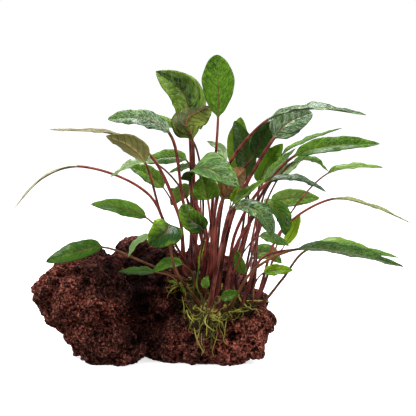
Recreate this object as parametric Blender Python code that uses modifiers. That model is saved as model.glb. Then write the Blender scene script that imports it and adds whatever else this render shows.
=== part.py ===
"""Cryptocoryne growing on a lump of lava stone: a stone, three crowns, their leaves and a mat of roots.

Lengths are in metres once they are in the scene. The tables below are in millimetres and are turned
into metres where they are used. +X is to the right as the plant is looked at, +Y is away from the
viewer and +Z is up. The origin is on the floor, on the stone's trimmed underside.
"""

import math
from collections import namedtuple

import bmesh
import bpy
import numpy as np
from mathutils import Matrix, Vector
from mathutils.bvhtree import BVHTree

MM = 0.001

# The front view that the leaves are drawn in
EYE_DISTANCE = 805.0
EYE_HEIGHT = 190.0

# The crowns, the short stems that the leaves and roots spring from
CROWN_RADIUS = 9.0
CROWN_SPREAD = math.radians(78)
GOLDEN_ANGLE = math.radians(137.508)
FOOT_GAP = 0.45
FOOT_STRAIGHT = 4.5

# A leaf's stalk and blade
STALK_STATIONS = (0.0, 0.12, 0.34, 0.6, 0.84)
BLADE_STATIONS = (0.0, 0.1, 0.28, 0.5, 0.74, 0.93, 1.0)
FOOT_FLARE = 1.3
BLADE_THICKNESS = 0.8
RIB_THICKNESS = 1.1
TIP_HALF_WIDTH = 0.35
SIDES = 6
CURVE_STEPS = 24

# The stone
STONE_VOXEL = 2.4
STONE_ROUGHNESS = 6.5
STONE_CONTRAST = 2.2
STONE_LUMP_SIZE = 22.0
STONE_PIT_SIZE = 12.5
STONE_PIT_DEPTH = 4.0
STONE_FACES = 2900
STONE_GAP = 0.5

# The root mat
ROOT_VOXEL = 1.2
ROOT_FACES = 200

Crown = namedtuple("Crown", "centre lean")
Leaf = namedtuple("Leaf", "name crown tone stalk width fold face knee neck belly tip outline widest",
                  defaults=(0.4,))
Lump = namedtuple("Lump", "centre radii")

# Centres in model millimetres, and the direction that each crown's top leans to
CROWNS = {
    "front": Crown((1, -29, 36), (0.0, -0.35, 1.0)),
    "back": Crown((-7, -8, 53.5), (-0.1, 0.05, 1.0)),
    "right": Crown((24, -16, 40), (0.3, -0.15, 1.0)),
}

# Each leaf is drawn in the front view: across and up as they look on the plane through the origin,
# and the depth behind that plane. The knee is halfway up the stalk, the neck is where the blade
# starts, and the belly is halfway along the blade. The stalk's thickness and the blade's width are
# in millimetres, the fold is how far each half of the blade rises, in degrees, and the face is the
# direction that the upper side looks in at the belly. The outline is 0.5 for a round blade and 0.9
# for a narrow pointed one. The blade is widest at a share of its length, 0.4 where it isn't given.
LEAVES = (
    Leaf("leaf_arching_left", "back", "olive", 2.1, 12, 20, (0.25, 0.0, 1.0),
         (-40, 113, -4), (-91, 134.3, 8), (-115, 126.5, 12), (-136, 105, 14), 0.9),
    Leaf("leaf_olive_left", "back", "olive", 1.9, 20, 14, (0.3, 0.75, 0.6),
         (-32, 98.5, -24), (-44, 137, -32), (-54.5, 148, -38), (-71, 155.5, -46), 0.7),
    Leaf("leaf_long_left", "back", "olive", 2.4, 14, 18, (0.05, 0.1, 1.0),
         (-20, 98, -10), (-40, 142, -14), (-61, 156, -14), (-110, 160, -12), 0.8),
    Leaf("leaf_silver_left", "back", "silver", 2.4, 15, 10, (-0.1, -0.75, 0.65),
         (-16.8, 107, -16), (-27, 157.5, -18), (-47, 167.4, -24), (-69.5, 167, -30), 0.5),
    Leaf("leaf_behind_silver", "back", "mid", 1.7, 11, 12, (0.0, -0.6, 0.8),
         (-3.5, 112, 6), (-10.5, 152, 2), (-25, 163, 0), (-42, 170, -6), 0.7),
    Leaf("leaf_big_top_left", "back", "dark", 2.4, 27, 18, (0.25, -1.0, 0.25),
         (-11.5, 108, 13), (-13, 162, 22), (-16, 183.3, 26), (-36, 200, 14), 0.68),
    Leaf("leaf_cupped_top", "back", "olive", 2.4, 23, 16, (0.0, 1.0, 0.25),
         (-9, 106, -6), (-11, 153, -12), (-15, 165, -8), (1.5, 176, 18), 0.55),
    Leaf("leaf_tall", "back", "mid", 2.1, 23, 8, (0.0, -1.0, 0.1),
         (3, 108, 2), (7, 168, 4), (7, 190, 6), (6, 211.5, 10), 0.6, 0.56),
    Leaf("leaf_green_left", "back", "mid", 1.7, 12, 10, (0.0, -0.9, 0.55),
         (-7, 100, 20), (-15, 138.5, 25), (-29, 140.5, 24), (-44, 137, 20), 0.6),
    Leaf("leaf_grey_left", "back", "silver", 1.5, 8, 14, (-0.1, -0.6, 0.8),
         (-14, 110, 2), (-37, 136.5, -2), (-51, 136.5, -4), (-68, 127, -6), 0.8),
    Leaf("leaf_under_grey", "back", "mid", 1.2, 14, 12, (0.2, -0.8, 0.6),
         (-20, 96, 4), (-31, 119, 8), (-42, 128.5, 8), (-55, 134.5, 8), 0.65),
    Leaf("leaf_lone_left", "back", "mid", 1.3, 13, 10, (0.1, -0.75, 0.65),
         (-28, 80, -18), (-43, 98, -24), (-63, 105.5, -26), (-82, 107.7, -28), 0.65),
    Leaf("leaf_over_stone_left", "back", "mid", 1.7, 15, 10, (0.1, -0.8, 0.6),
         (-44, 66, -32), (-74, 77.3, -30), (-95, 73.2, -28), (-114, 67, -24), 0.65),
    Leaf("leaf_heart_front", "front", "dark", 1.8, 22, 16, (0.15, -0.9, 0.45),
         (-24, 64, -43), (-27, 93, -45), (-29.5, 88, -53), (-41.5, 79, -58), 0.6),
    Leaf("leaf_edge_left", "back", "light", 1.2, 8, 14, (-0.4, -0.5, 0.75),
         (-22, 70, -26), (-36, 85, -32), (-49, 81, -36), (-56.5, 70, -40), 0.8),
    Leaf("leaf_low_pointed", "front", "mid", 1.1, 8, 10, (0.0, -0.6, 0.8),
         (-24, 55, -42), (-37, 59.5, -49), (-50, 60, -50), (-63, 60, -49), 0.7),
    Leaf("leaf_low_curled", "front", "mid", 1.3, 10, 12, (-0.1, -0.7, 0.7),
         (-10, 57, -35), (-18, 65, -34), (-28, 65.5, -34), (-39, 59.5, -36), 0.7),
    Leaf("leaf_folded_left", "front", "dark", 1.4, 15, 16, (-0.2, -0.9, 0.4),
         (-5, 70, -38), (-3, 89, -42), (-12, 97, -46), (-18, 107.5, -41), 0.5),
    Leaf("leaf_glossy_centre", "front", "dark", 2.3, 29, 18, (0.05, -0.55, 0.83),
         (-1, 86, -25), (-12.6, 123.5, -26), (-4, 132.8, -37), (21.4, 119.8, -51), 0.7),
    Leaf("leaf_under_centre", "front", "dark", 1.8, 19, 10, (0.0, -1.0, 0.1),
         (2.3, 84, -30), (0, 110.5, -29), (-2, 120, -31), (-4, 127, -30), 0.55),
    Leaf("leaf_brown_back", "front", "red", 2.6, 19, 14, (0.0, 1.0, 0.2),
         (5.5, 88, -16), (10, 111, -16), (17, 122, -12), (26, 132.5, 4), 0.6),
    Leaf("leaf_pale_back", "back", "pale", 1.4, 7, 10, (0.0, -1.0, 0.2),
         (5, 100, 30), (11, 136, 46), (9.5, 146, 50), (-1, 152, 52), 0.8),
    Leaf("leaf_upright_front", "right", "dark", 1.9, 16, 12, (0.0, -1.0, 0.0),
         (24.5, 92, 10), (27, 128, 18), (25, 149, 20), (18.5, 166, 18), 0.6),
    Leaf("leaf_upright_back", "right", "light", 1.7, 19, 12, (-0.1, -1.0, 0.0),
         (28, 93, 18), (27, 126, 28), (21.5, 149, 29), (22.5, 168.5, 27), 0.6),
    Leaf("leaf_dark_right", "back", "dark", 1.9, 16, 14, (0.3, -1.0, 0.2),
         (13, 118, 6), (31, 140, 9), (37, 153, 11), (45, 166, 14), 0.65),
    Leaf("leaf_mid_right", "right", "mid", 1.8, 15, 12, (0.0, -1.0, 0.2),
         (34, 100, 11), (36, 121.5, 15), (42.5, 138, 16), (52, 150, 12.5), 0.65),
    Leaf("leaf_quilted_top", "front", "silver", 2.8, 21, 10, (-0.1, -0.95, 0.3),
         (18, 102, -20), (46, 154, -7), (56, 164.8, 0), (72.3, 171.5, 7), 0.55),
    Leaf("leaf_long_top_right", "back", "silver", 2.3, 13, 16, (0.0, -0.3, 0.95),
         (9, 124, -2), (42, 167, -13), (72, 174.6, -22), (110, 170, -26), 0.7),
    Leaf("leaf_long_right", "right", "mid", 2.3, 14, 14, (-0.1, -0.75, 0.65),
         (36, 112, -8), (60, 141.3, -8), (88, 149, -10), (119.5, 150, -12), 0.65),
    Leaf("leaf_light_right", "right", "light", 1.5, 8, 14, (-0.2, -0.3, 0.9),
         (38, 110, 16), (51, 142, 16), (68, 152, 16), (93, 161, 14), 0.9),
    Leaf("leaf_strip_right", "right", "silver", 1.4, 8, 12, (-0.4, -0.6, 0.5),
         (32, 102, 0), (39, 124, 2), (50, 136, 4), (61, 147, 4), 0.8),
    Leaf("leaf_strip_centre", "front", "silver", 1.4, 8, 14, (-0.45, -0.6, 0.6),
         (11, 90, -30), (17, 107, -36), (28, 116.5, -38), (41, 125.5, -38), 0.8),
    Leaf("leaf_under_strip", "right", "mid", 1.4, 10, 12, (-0.2, -0.7, 0.6),
         (36, 104, 6), (44, 123, 8), (54, 131, 9), (65, 138.5, 9), 0.7),
    Leaf("leaf_drooping_right", "right", "mid", 1.4, 8, 14, (0.2, -0.5, 0.85),
         (42, 112, 2), (59, 137, 0), (73, 138.8, 0), (84, 131, -2), 0.8),
    Leaf("leaf_light_far_right", "right", "light", 1.3, 10, 16, (0.0, -0.35, 0.95),
         (56.5, 99, 8), (83, 129, 10), (100, 133.5, 10), (122, 133.5, 10), 0.65),
    Leaf("leaf_glossy_right", "front", "silver", 2.4, 12, 12, (0.1, -0.3, 0.95),
         (19.5, 88, -26), (43, 123.5, -28), (64, 124.7, -30), (82.5, 116.5, -32), 0.65),
    Leaf("leaf_pale_right", "right", "light", 1.5, 14, 12, (0.0, -0.9, 0.4),
         (36, 88, 14), (44, 108, 16), (57, 111.8, 18), (78, 112, 20), 0.65),
    Leaf("leaf_arching_right", "right", "olive", 2.0, 11, 20, (0.1, -0.15, 1.0),
         (51, 88.5, -8), (87.5, 111.5, -6), (113.5, 107, -6), (142, 94.6, -6), 0.7),
    Leaf("leaf_quilted_front", "front", "silver", 2.8, 15, 14, (0.3, -0.75, 0.6),
         (12, 89, -36), (18.5, 105.5, -42), (37, 101, -52), (45.5, 85, -56), 0.55),
    Leaf("leaf_round_front", "front", "dark", 2.4, 15, 12, (0.6, -0.75, 0.3),
         (20.5, 80, -32), (42, 107, -35), (52, 99, -38), (54, 86, -40), 0.55),
    Leaf("leaf_lime_upright", "right", "lime", 1.1, 9, 10, (-0.4, -0.85, 0.2),
         (44, 64, 4), (54, 79, 8), (60.5, 91, 10), (64.5, 102, 10), 0.7),
    Leaf("leaf_small_dark", "front", "dark", 1.2, 9, 12, (0.0, -0.7, 0.7),
         (24, 72, -40), (36, 85, -46), (46, 83, -48), (57, 78.5, -48), 0.7),
    Leaf("leaf_low_right_back", "right", "mid", 2.0, 11, 14, (0.0, -0.45, 0.9),
         (38, 69.5, -30), (62, 75.7, -28), (97, 76.8, -26), (134, 69.9, -24), 0.65),
    Leaf("leaf_low_right_front", "front", "dark", 2.1, 15, 14, (0.0, -0.4, 0.9),
         (32, 61, -42), (62, 75.8, -42), (96, 74, -42), (138, 63.4, -40), 0.65),
    Leaf("leaf_low_right_lime", "right", "lime", 1.1, 12, 14, (0.0, -0.35, 0.95),
         (52, 54, -10), (68, 74.5, -8), (92, 80.5, -8), (116, 75, -6), 0.65),
    Leaf("leaf_lime_low", "right", "lime", 1.3, 9, 12, (0.0, -0.8, 0.6),
         (33, 51, -23), (39, 59, -25), (49, 61, -26), (60, 61, -26), 0.7),
    Leaf("leaf_young_right", "right", "dark", 1.2, 9, 12, (-0.3, -1.0, 0.0),
         (25, 53, -24), (25, 58, -24), (22, 66, -23), (20, 75, -22), 0.7),
    Leaf("leaf_young_base", "front", "mid", 1.2, 8, 10, (0.0, -0.9, 0.4),
         (6, 42, -42), (9, 41.5, -44), (15, 43, -46), (21.5, 46, -46), 0.7),
    Leaf("leaf_young_pale", "front", "pale", 1.1, 6, 10, (0.0, -1.0, 0.0),
         (-1, 46, -41), (-1, 48, -43), (-2, 52, -44), (0, 57, -44), 0.7),
    Leaf("leaf_behind_left_low", "back", "mid", 1.4, 11, 12, (0.2, -0.9, 0.4),
         (-10.5, 92, 17), (-12, 119, 26), (-20, 115, 28), (-26, 107, 30), 0.65),
    Leaf("leaf_behind_left_high", "back", "mid", 1.4, 8, 12, (0.0, -0.6, 0.8),
         (-5, 104, 24), (-8, 134, 32), (-18, 133, 34), (-27, 130, 36), 0.7),
    Leaf("leaf_pale_low_back", "right", "pale", 1.5, 13, 12, (0.0, -0.8, 0.5),
         (28, 62, 20), (32, 70, 34), (41, 74, 38), (52, 66, 40), 0.65),
    Leaf("leaf_back_left", "back", "mid", 1.9, 15, 16, (0.0, 0.2, 1.0),
         (-11, 88, 30), (-15, 112, 52), (-20, 117, 72), (-23, 108, 94), 0.65),
    Leaf("leaf_back_right", "right", "mid", 1.9, 15, 16, (0.0, 0.2, 1.0),
         (32, 82, 34), (42, 106, 56), (48, 110, 76), (52, 98, 98), 0.65),
    Leaf("leaf_back_centre", "back", "dark", 2.0, 16, 16, (0.0, 0.2, 1.0),
         (2, 94, 34), (5, 124, 60), (8, 128, 82), (11, 118, 106), 0.65),
)

TONES = {
    "dark": (0.035, 0.115, 0.025),
    "mid": (0.075, 0.185, 0.025),
    "light": (0.150, 0.290, 0.045),
    "lime": (0.260, 0.400, 0.030),
    "pale": (0.260, 0.420, 0.180),
    "olive": (0.160, 0.180, 0.045),
    "silver": (0.110, 0.180, 0.100),
    "red": (0.150, 0.060, 0.025),
}
STALK_COLOUR = (0.150, 0.022, 0.018)

# The lumps that run together into the stone, in model millimetres
STONE_LUMPS = (
    Lump((-80, 2, 42), (40, 41, 32)),
    Lump((-102, -2, 48), (19, 27, 20)),
    Lump((-88, 4, 52), (28, 32, 21)),
    Lump((-89, -6, 25), (19, 25, 17)),
    Lump((-94.5, -4, 10), (9.5, 12, 7.5)),
    Lump((-48, 16, 42), (34, 36, 39)),
    Lump((-53, 14, 74), (7, 8, 7)),
    Lump((-40, 24, 67), (18, 16, 13)),
    Lump((-5, 4, 10), (27, 27, 29)),
    Lump((-5, 38, 35), (38, 22, 40)),
    Lump((-74, 20, 16), (27, 24, 20)),
    Lump((21, -2, 22), (25.5, 28, 18)),
    Lump((30, 10, 31.5), (14.5, 16, 15.5)),
    Lump((-4, -18, 14), (24, 20, 21)),
    Lump((19, -20, 9), (22, 18, 14)),
    Lump((-65, -20, 12), (22.5, 20, 21)),
    Lump((-20, -14, 12), (18, 21, 19)),
    Lump((-42, -4, 16), (18, 17, 16)),
)

# The strands of root that make up the mat: points in the front view, across and up. They lie against
# the stone and the front crown.
ROOT_STRANDS = (
    ((-15, 38), (-15, 31), (-11, 24), (-8, 15), (-6, 7), (-4, 0)),
    ((-9, 31), (-7, 24), (-3, 17), (-1, 12)),
    ((-1, 22), (2, 19), (5, 14), (4.5, 7), (4, -1)),
    ((7, 26), (10, 21), (12, 15), (13, 9)),
    ((13, 31), (18, 28), (23, 25), (28, 22)),
    ((13, 32), (21, 31), (30, 33), (38, 33.5), (44, 31)),
)
STRAND_START = 4.2
STRAND_END = 1.8
STRAND_LIFT = 1.2
STRAND_STEP = 6


def drawn(across, up, depth):
    """A point of the front view, put at its depth along the line of sight, in model millimetres."""
    nearness = 1.0 + depth / EYE_DISTANCE
    return np.array((across * nearness, depth, EYE_HEIGHT + (up - EYE_HEIGHT) * nearness))


def unit(vector):
    return vector / np.linalg.norm(vector)


def clear_scene():
    for obj in list(bpy.data.objects):
        bpy.data.objects.remove(obj)


def new_collection(name):
    collection = bpy.data.collections.new(name)
    bpy.context.scene.collection.children.link(collection)
    return collection


def material(name, colour, roughness):
    made = bpy.data.materials.get(name)
    if made is None:
        made = bpy.data.materials.new(name)
        made.use_nodes = True
        shader = made.node_tree.nodes["Principled BSDF"]
        shader.inputs["Base Color"].default_value = (*colour, 1.0)
        shader.inputs["Roughness"].default_value = roughness
        shader.inputs["Metallic"].default_value = 0.0
    return made


def object_from(bm, name, collection):
    mesh = bpy.data.meshes.new(name)
    bm.to_mesh(mesh)
    bm.free()
    obj = bpy.data.objects.new(name, mesh)
    collection.objects.link(obj)
    return obj


def helper(obj):
    """Marks a cutter or a guide, which isn't a piece of the plant."""
    obj.hide_render = True
    obj.display_type = "WIRE"
    return obj


def evaluated_mesh(obj):
    """The object's mesh with its modifiers applied."""
    bpy.context.view_layer.update()
    graph = bpy.context.evaluated_depsgraph_get()
    return bpy.data.meshes.new_from_object(obj.evaluated_get(graph))


def swollen_copy(obj, gap, collection):
    """A copy grown along its normals by the gap, used to cut the pieces that lie against the object."""
    bm = bmesh.new()
    bm.from_mesh(evaluated_mesh(obj))
    bm.normal_update()
    for vertex in bm.verts:
        vertex.co += vertex.normal * gap * MM * vertex.calc_shell_factor()
    return helper(object_from(bm, obj.name + "_swollen", collection))


def fused_lumps(name, lumps, voxel, collection):
    """Ellipsoids run together into one skin."""
    bm = bmesh.new()
    for lump in lumps:
        place = Matrix.Translation(Vector(lump.centre) * MM) @ Matrix.Diagonal((*lump.radii, 1.0))
        bmesh.ops.create_icosphere(bm, subdivisions=3, radius=MM, matrix=place)
    obj = object_from(bm, name, collection)
    remesh = obj.modifiers.new("Fuse", "REMESH")
    remesh.mode = "VOXEL"
    remesh.voxel_size = voxel * MM
    return obj


def thin_out(obj, faces):
    """Decimates the object to about so many triangles, after its other modifiers."""
    whole = evaluated_mesh(obj)
    triangles = sum(len(face.vertices) - 2 for face in whole.polygons)
    bpy.data.meshes.remove(whole)
    decimate = obj.modifiers.new("Thin out", "DECIMATE")
    decimate.ratio = min(1.0, faces / triangles)
    decimate.use_collapse_triangulate = True


def bake(obj):
    """Replaces the object's mesh by its evaluated one, so that it can be edited further."""
    mesh = evaluated_mesh(obj)
    obj.modifiers.clear()
    old = obj.data
    obj.data = mesh
    bpy.data.meshes.remove(old)


def make_stone(parts):
    """The lava stone: fused lumps with bosses and pits, trimmed flat where it stands."""
    stone = fused_lumps("lava_stone", STONE_LUMPS, STONE_VOXEL, parts)
    layers = (
        (STONE_LUMP_SIZE, -STONE_ROUGHNESS, 0.35),
        (STONE_LUMP_SIZE / 2, -STONE_ROUGHNESS / 2, 0.35),
        (STONE_PIT_SIZE, STONE_PIT_DEPTH, 0.6),
    )
    for size, strength, level in layers:
        texture = bpy.data.textures.new("Lava lumps", "CLOUDS")
        texture.noise_scale = size * MM
        texture.noise_basis = "VORONOI_F1"
        texture.noise_depth = 1
        texture.contrast = STONE_CONTRAST
        displace = stone.modifiers.new("Lumps", "DISPLACE")
        displace.texture = texture
        displace.texture_coords = "GLOBAL"
        displace.strength = strength * MM
        displace.mid_level = level
    clean = stone.modifiers.new("Clean skin", "REMESH")
    clean.mode = "VOXEL"
    clean.voxel_size = STONE_VOXEL * MM
    thin_out(stone, STONE_FACES)
    bake(stone)
    bm = bmesh.new()
    bm.from_mesh(stone.data)
    everything = list(bm.verts) + list(bm.edges) + list(bm.faces)
    bmesh.ops.bisect_plane(bm, geom=everything, plane_co=(0, 0, 0), plane_no=(0, 0, 1), clear_inner=True)
    rim = [edge for edge in bm.edges if edge.is_boundary]
    bmesh.ops.holes_fill(bm, edges=rim, sides=0)
    bmesh.ops.triangulate(bm, faces=bm.faces)
    bm.to_mesh(stone.data)
    bm.free()
    keep_largest(stone)
    stone.data.materials.append(material("lava_stone", (0.075, 0.026, 0.020), 0.95))
    return stone


def make_crown(name, crown, stone_swollen, parts):
    """A crown: a knob that sits in the stone's surface."""
    bm = bmesh.new()
    place = Matrix.Translation(Vector(crown.centre) * MM)
    bmesh.ops.create_uvsphere(bm, u_segments=9, v_segments=6, radius=CROWN_RADIUS * MM, matrix=place)
    obj = object_from(bm, "crown_" + name, parts)
    cut = obj.modifiers.new("Sit on the stone", "BOOLEAN")
    cut.operation = "DIFFERENCE"
    cut.object = stone_swollen
    obj.data.materials.append(material("crown", (0.080, 0.035, 0.020), 0.8))
    return obj


def crown_seats(crown, count):
    """Directions of the leaves' feet on a crown, in a golden-angle spiral from its top outwards."""
    turn = Vector((0, 0, 1)).rotation_difference(Vector(crown.lean))
    seats = []
    for k in range(count):
        rise = 1.0 - (1.0 - math.cos(CROWN_SPREAD)) * (k + 0.5) / count
        reach = math.sqrt(1.0 - rise * rise)
        angle = k * GOLDEN_ANGLE
        seats.append(np.array(turn @ Vector((reach * math.cos(angle), reach * math.sin(angle), rise))))
    return seats


def seated_leaves():
    """Each leaf's foot direction: every leaf takes the seat that suits its knee, with no two crossing."""
    feet = {}
    for name, crown in CROWNS.items():
        leaves = [leaf for leaf in LEAVES if leaf.crown == name]
        wanted = [unit(drawn(*leaf.knee) - np.array(crown.centre)) for leaf in leaves]
        seats = crown_seats(crown, len(leaves))
        settled = False
        while not settled:
            settled = True
            for i in range(len(leaves)):
                for j in range(i + 1, len(leaves)):
                    gain = np.dot(wanted[i] - wanted[j], seats[j] - seats[i])
                    if gain > 1e-9:
                        seats[i], seats[j] = seats[j], seats[i]
                        settled = False
        for leaf, seat in zip(leaves, seats):
            feet[leaf.name] = seat
    return feet


def smooth_curve(points, steps):
    """Points along a centripetal Catmull-Rom curve, and the index at which each given point stands."""
    points = [2 * points[0] - points[1], *points, 2 * points[-1] - points[-2]]
    knots = [0.0]
    for a, b in zip(points, points[1:]):
        knots.append(knots[-1] + math.sqrt(np.linalg.norm(b - a)))
    line = []
    for i in range(1, len(points) - 2):
        p0, p1, p2, p3 = points[i - 1 : i + 3]
        t0, t1, t2, t3 = knots[i - 1 : i + 3]
        for t in np.linspace(t1, t2, steps, endpoint=False):
            a1 = (p0 * (t1 - t) + p1 * (t - t0)) / (t1 - t0)
            a2 = (p1 * (t2 - t) + p2 * (t - t1)) / (t2 - t1)
            a3 = (p2 * (t3 - t) + p3 * (t - t2)) / (t3 - t2)
            b1 = (a1 * (t2 - t) + a2 * (t - t0)) / (t2 - t0)
            b2 = (a2 * (t3 - t) + a3 * (t - t1)) / (t3 - t1)
            line.append((b1 * (t2 - t) + b2 * (t - t1)) / (t2 - t1))
    line.append(points[-2])
    return np.array(line)


def leaf_curve(leaf, seat):
    """The line of a leaf from foot to tip, and the index of its neck and belly."""
    centre = np.array(CROWNS[leaf.crown].centre, float)
    foot = centre + seat * (CROWN_RADIUS + FOOT_GAP)
    above = centre + seat * (CROWN_RADIUS + FOOT_STRAIGHT)
    marks = [foot, above, *(drawn(*point) for point in (leaf.knee, leaf.neck, leaf.belly, leaf.tip))]
    return smooth_curve(marks, CURVE_STEPS), 3 * CURVE_STEPS, 4 * CURVE_STEPS


def transported_frames(line, start, face):
    """Tangents and upper-side normals along a line, turned as little as possible from the start's face."""
    tangents = np.gradient(line, axis=0)
    tangents /= np.linalg.norm(tangents, axis=1)[:, None]
    normals = np.zeros_like(line)
    face = np.array(face, float)
    normals[start] = unit(face - tangents[start] * np.dot(face, tangents[start]))
    for way, stop in ((1, len(line)), (-1, -1)):
        for i in range(start + way, stop, way):
            carried = normals[i - way]
            normals[i] = unit(carried - tangents[i] * np.dot(carried, tangents[i]))
    return tangents, normals


def blade_shape(along, outline, widest):
    """Half the blade's width at a share of its length, with the widest place as 1."""
    lean = math.log(0.5) / math.log(widest)
    return math.sin(math.pi * along**lean) ** outline if 0.0 < along < 1.0 else 0.0


def stalk_ring(radius):
    """Places round a stalk, as (across, over) of its middle."""
    angles = [math.radians(30 + 360 * k / SIDES) for k in range(SIDES)]
    return [(radius * math.cos(a), radius * math.sin(a)) for a in angles]


def blade_ring(half_width, fold, stalk_radius):
    """Places round a blade's section: a shallow V with a rib below its middle."""
    out, rise = half_width * math.cos(fold), half_width * math.sin(fold)
    thin = BLADE_THICKNESS / 2
    rib = max(RIB_THICKNESS / 2, stalk_radius * 0.6)
    return [(out, rise + thin), (0, thin), (-out, rise + thin), (-out, rise - thin), (0, -rib), (out, rise - thin)]


def leaf_stations(leaf, line, neck):
    """The rings of a leaf from foot to tip, as (index on the line, ring)."""
    lengths = np.concatenate([[0.0], np.cumsum(np.linalg.norm(np.diff(line, axis=0), axis=1))])
    radius = leaf.stalk / 2
    rings = []
    for share in STALK_STATIONS:
        flare = 1.0 + (FOOT_FLARE - 1.0) * max(0.0, 1.0 - 4.0 * share)
        rings.append((np.searchsorted(lengths, share * lengths[neck]), stalk_ring(radius * flare)))
    blade_length = lengths[-1] - lengths[neck]
    for along in BLADE_STATIONS:
        index = min(np.searchsorted(lengths, lengths[neck] + along * blade_length), len(line) - 1)
        if along == 0.0:
            rings.append((index, stalk_ring(radius * 0.85)))
            continue
        half_width = leaf.width / 2 * blade_shape(along, leaf.outline, leaf.widest)
        half_width = max(TIP_HALF_WIDTH, half_width)
        rings.append((index, blade_ring(half_width, math.radians(leaf.fold), radius * (1.0 - along))))
    return rings


def make_leaf(leaf, seat, parts):
    """A leaf as one loft: a six-sided stalk that opens into a folded blade."""
    line, neck, belly = leaf_curve(leaf, seat)
    tangents, normals = transported_frames(line, belly, leaf.face)
    bm = bmesh.new()
    loops = []
    for index, ring in leaf_stations(leaf, line, neck):
        side = np.cross(tangents[index], normals[index])
        places = [line[index] + side * across + normals[index] * over for across, over in ring]
        loops.append([bm.verts.new(Vector(place) * MM) for place in places])
    for row, (lower, upper) in enumerate(zip(loops, loops[1:])):
        for k in range(SIDES):
            a, b = lower[k], lower[(k + 1) % SIDES]
            c, d = upper[(k + 1) % SIDES], upper[k]
            corners = ((a, b, c), (a, c, d)) if k in (0, 2, 3) else ((a, b, d), (b, c, d))
            for corner in corners:
                bm.faces.new(corner).material_index = int(row >= len(STALK_STATIONS))
    bm.faces.new(loops[0][::-1])
    bm.faces.new(loops[-1]).material_index = 1
    bmesh.ops.recalc_face_normals(bm, faces=bm.faces)
    bmesh.ops.triangulate(bm, faces=[face for face in bm.faces if len(face.verts) > 4])
    obj = object_from(bm, leaf.name, parts)
    obj.data.materials.append(material("stalk", STALK_COLOUR, 0.45))
    obj.data.materials.append(material("leaf_" + leaf.tone, TONES[leaf.tone], 0.35))
    return obj


def sight_tree(objects):
    """A search tree over the objects' faces, for lines of sight."""
    places, faces = [], []
    for obj in objects:
        mesh = evaluated_mesh(obj)
        start = len(places)
        places.extend(vertex.co.copy() for vertex in mesh.vertices)
        faces.extend([start + v for v in face.vertices] for face in mesh.polygons)
        bpy.data.meshes.remove(mesh)
    return BVHTree.FromPolygons(places, faces)


def strand_places(tree, marks):
    """Places along a strand where it lies on the stone or crown, in metres, kept clear of sudden hollows."""
    eye = Vector((0, -EYE_DISTANCE, EYE_HEIGHT)) * MM
    found = []
    for across, up in smooth_curve([np.array(mark, float) for mark in marks], STRAND_STEP):
        way = (Vector((across, 0, up)) * MM - eye).normalized()
        place = tree.ray_cast(eye, way)[0]
        if place is not None:
            found.append((way, (place - eye).length))
    places = []
    for i, (way, _) in enumerate(found):
        nearest = min(distance for _, distance in found[max(0, i - 1) : i + 2])
        places.append(eye + way * (nearest - STRAND_LIFT * MM))
    return places


def keep_largest(obj):
    """Drops the crumbs that trimming has parted from the object's main body."""
    bake(obj)
    bm = bmesh.new()
    bm.from_mesh(obj.data)
    bodies = []
    left = set(bm.verts)
    while left:
        body, edge_of_body = set(), [left.pop()]
        while edge_of_body:
            vertex = edge_of_body.pop()
            body.add(vertex)
            for edge in vertex.link_edges:
                other = edge.other_vert(vertex)
                if other in left:
                    left.remove(other)
                    edge_of_body.append(other)
        bodies.append(body)
    bodies.sort(key=len)
    for body in bodies[:-1]:
        bmesh.ops.delete(bm, geom=list(body), context="VERTS")
    bm.to_mesh(obj.data)
    bm.free()


def make_root_mat(tree, swollen, parts):
    """The mat of roots: strands that run together below the crown, trimmed clear of what they lie on."""
    bm = bmesh.new()
    for marks in ROOT_STRANDS:
        places = strand_places(tree, marks)
        for i, place in enumerate(places):
            radius = STRAND_START + (STRAND_END - STRAND_START) * i / (len(places) - 1)
            bmesh.ops.create_icosphere(bm, subdivisions=2, radius=radius * MM, matrix=Matrix.Translation(place))
    mat = object_from(bm, "root_mat", parts)
    remesh = mat.modifiers.new("Fuse", "REMESH")
    remesh.mode = "VOXEL"
    remesh.voxel_size = ROOT_VOXEL * MM
    thin_out(mat, ROOT_FACES)
    for cutter in swollen:
        trim = mat.modifiers.new("Trim", "BOOLEAN")
        trim.operation = "DIFFERENCE"
        trim.object = cutter
    keep_largest(mat)
    mat.data.materials.append(material("roots", (0.300, 0.270, 0.060), 0.8))
    return mat


def main():
    clear_scene()
    parts = new_collection("Cryptocoryne on stone")
    cutters = new_collection("Cutters")
    stone = make_stone(parts)
    stone_swollen = swollen_copy(stone, STONE_GAP, cutters)
    crowns = [make_crown(name, crown, stone_swollen, parts) for name, crown in CROWNS.items()]
    swollen = [stone_swollen, *(swollen_copy(crown, STONE_GAP, cutters) for crown in crowns)]
    make_root_mat(sight_tree([stone, *crowns]), swollen, parts)
    feet = seated_leaves()
    for leaf in LEAVES:
        make_leaf(leaf, feet[leaf.name], parts)


main()
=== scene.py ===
"""Looks for the cryptocoryne on stone: finely modelled leaves, pitted lava stone, a tangle of root
fibres, their materials, and a plain studio.

Tables are in millimetres, and what goes into the scene is in metres. +X is to the right as the
plant is looked at, +Y is away from the viewer and +Z is up.
"""

import math
from collections import namedtuple
from itertools import combinations

import bmesh
import bpy
import numpy as np
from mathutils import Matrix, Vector, noise
from mathutils.bvhtree import BVHTree


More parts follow.
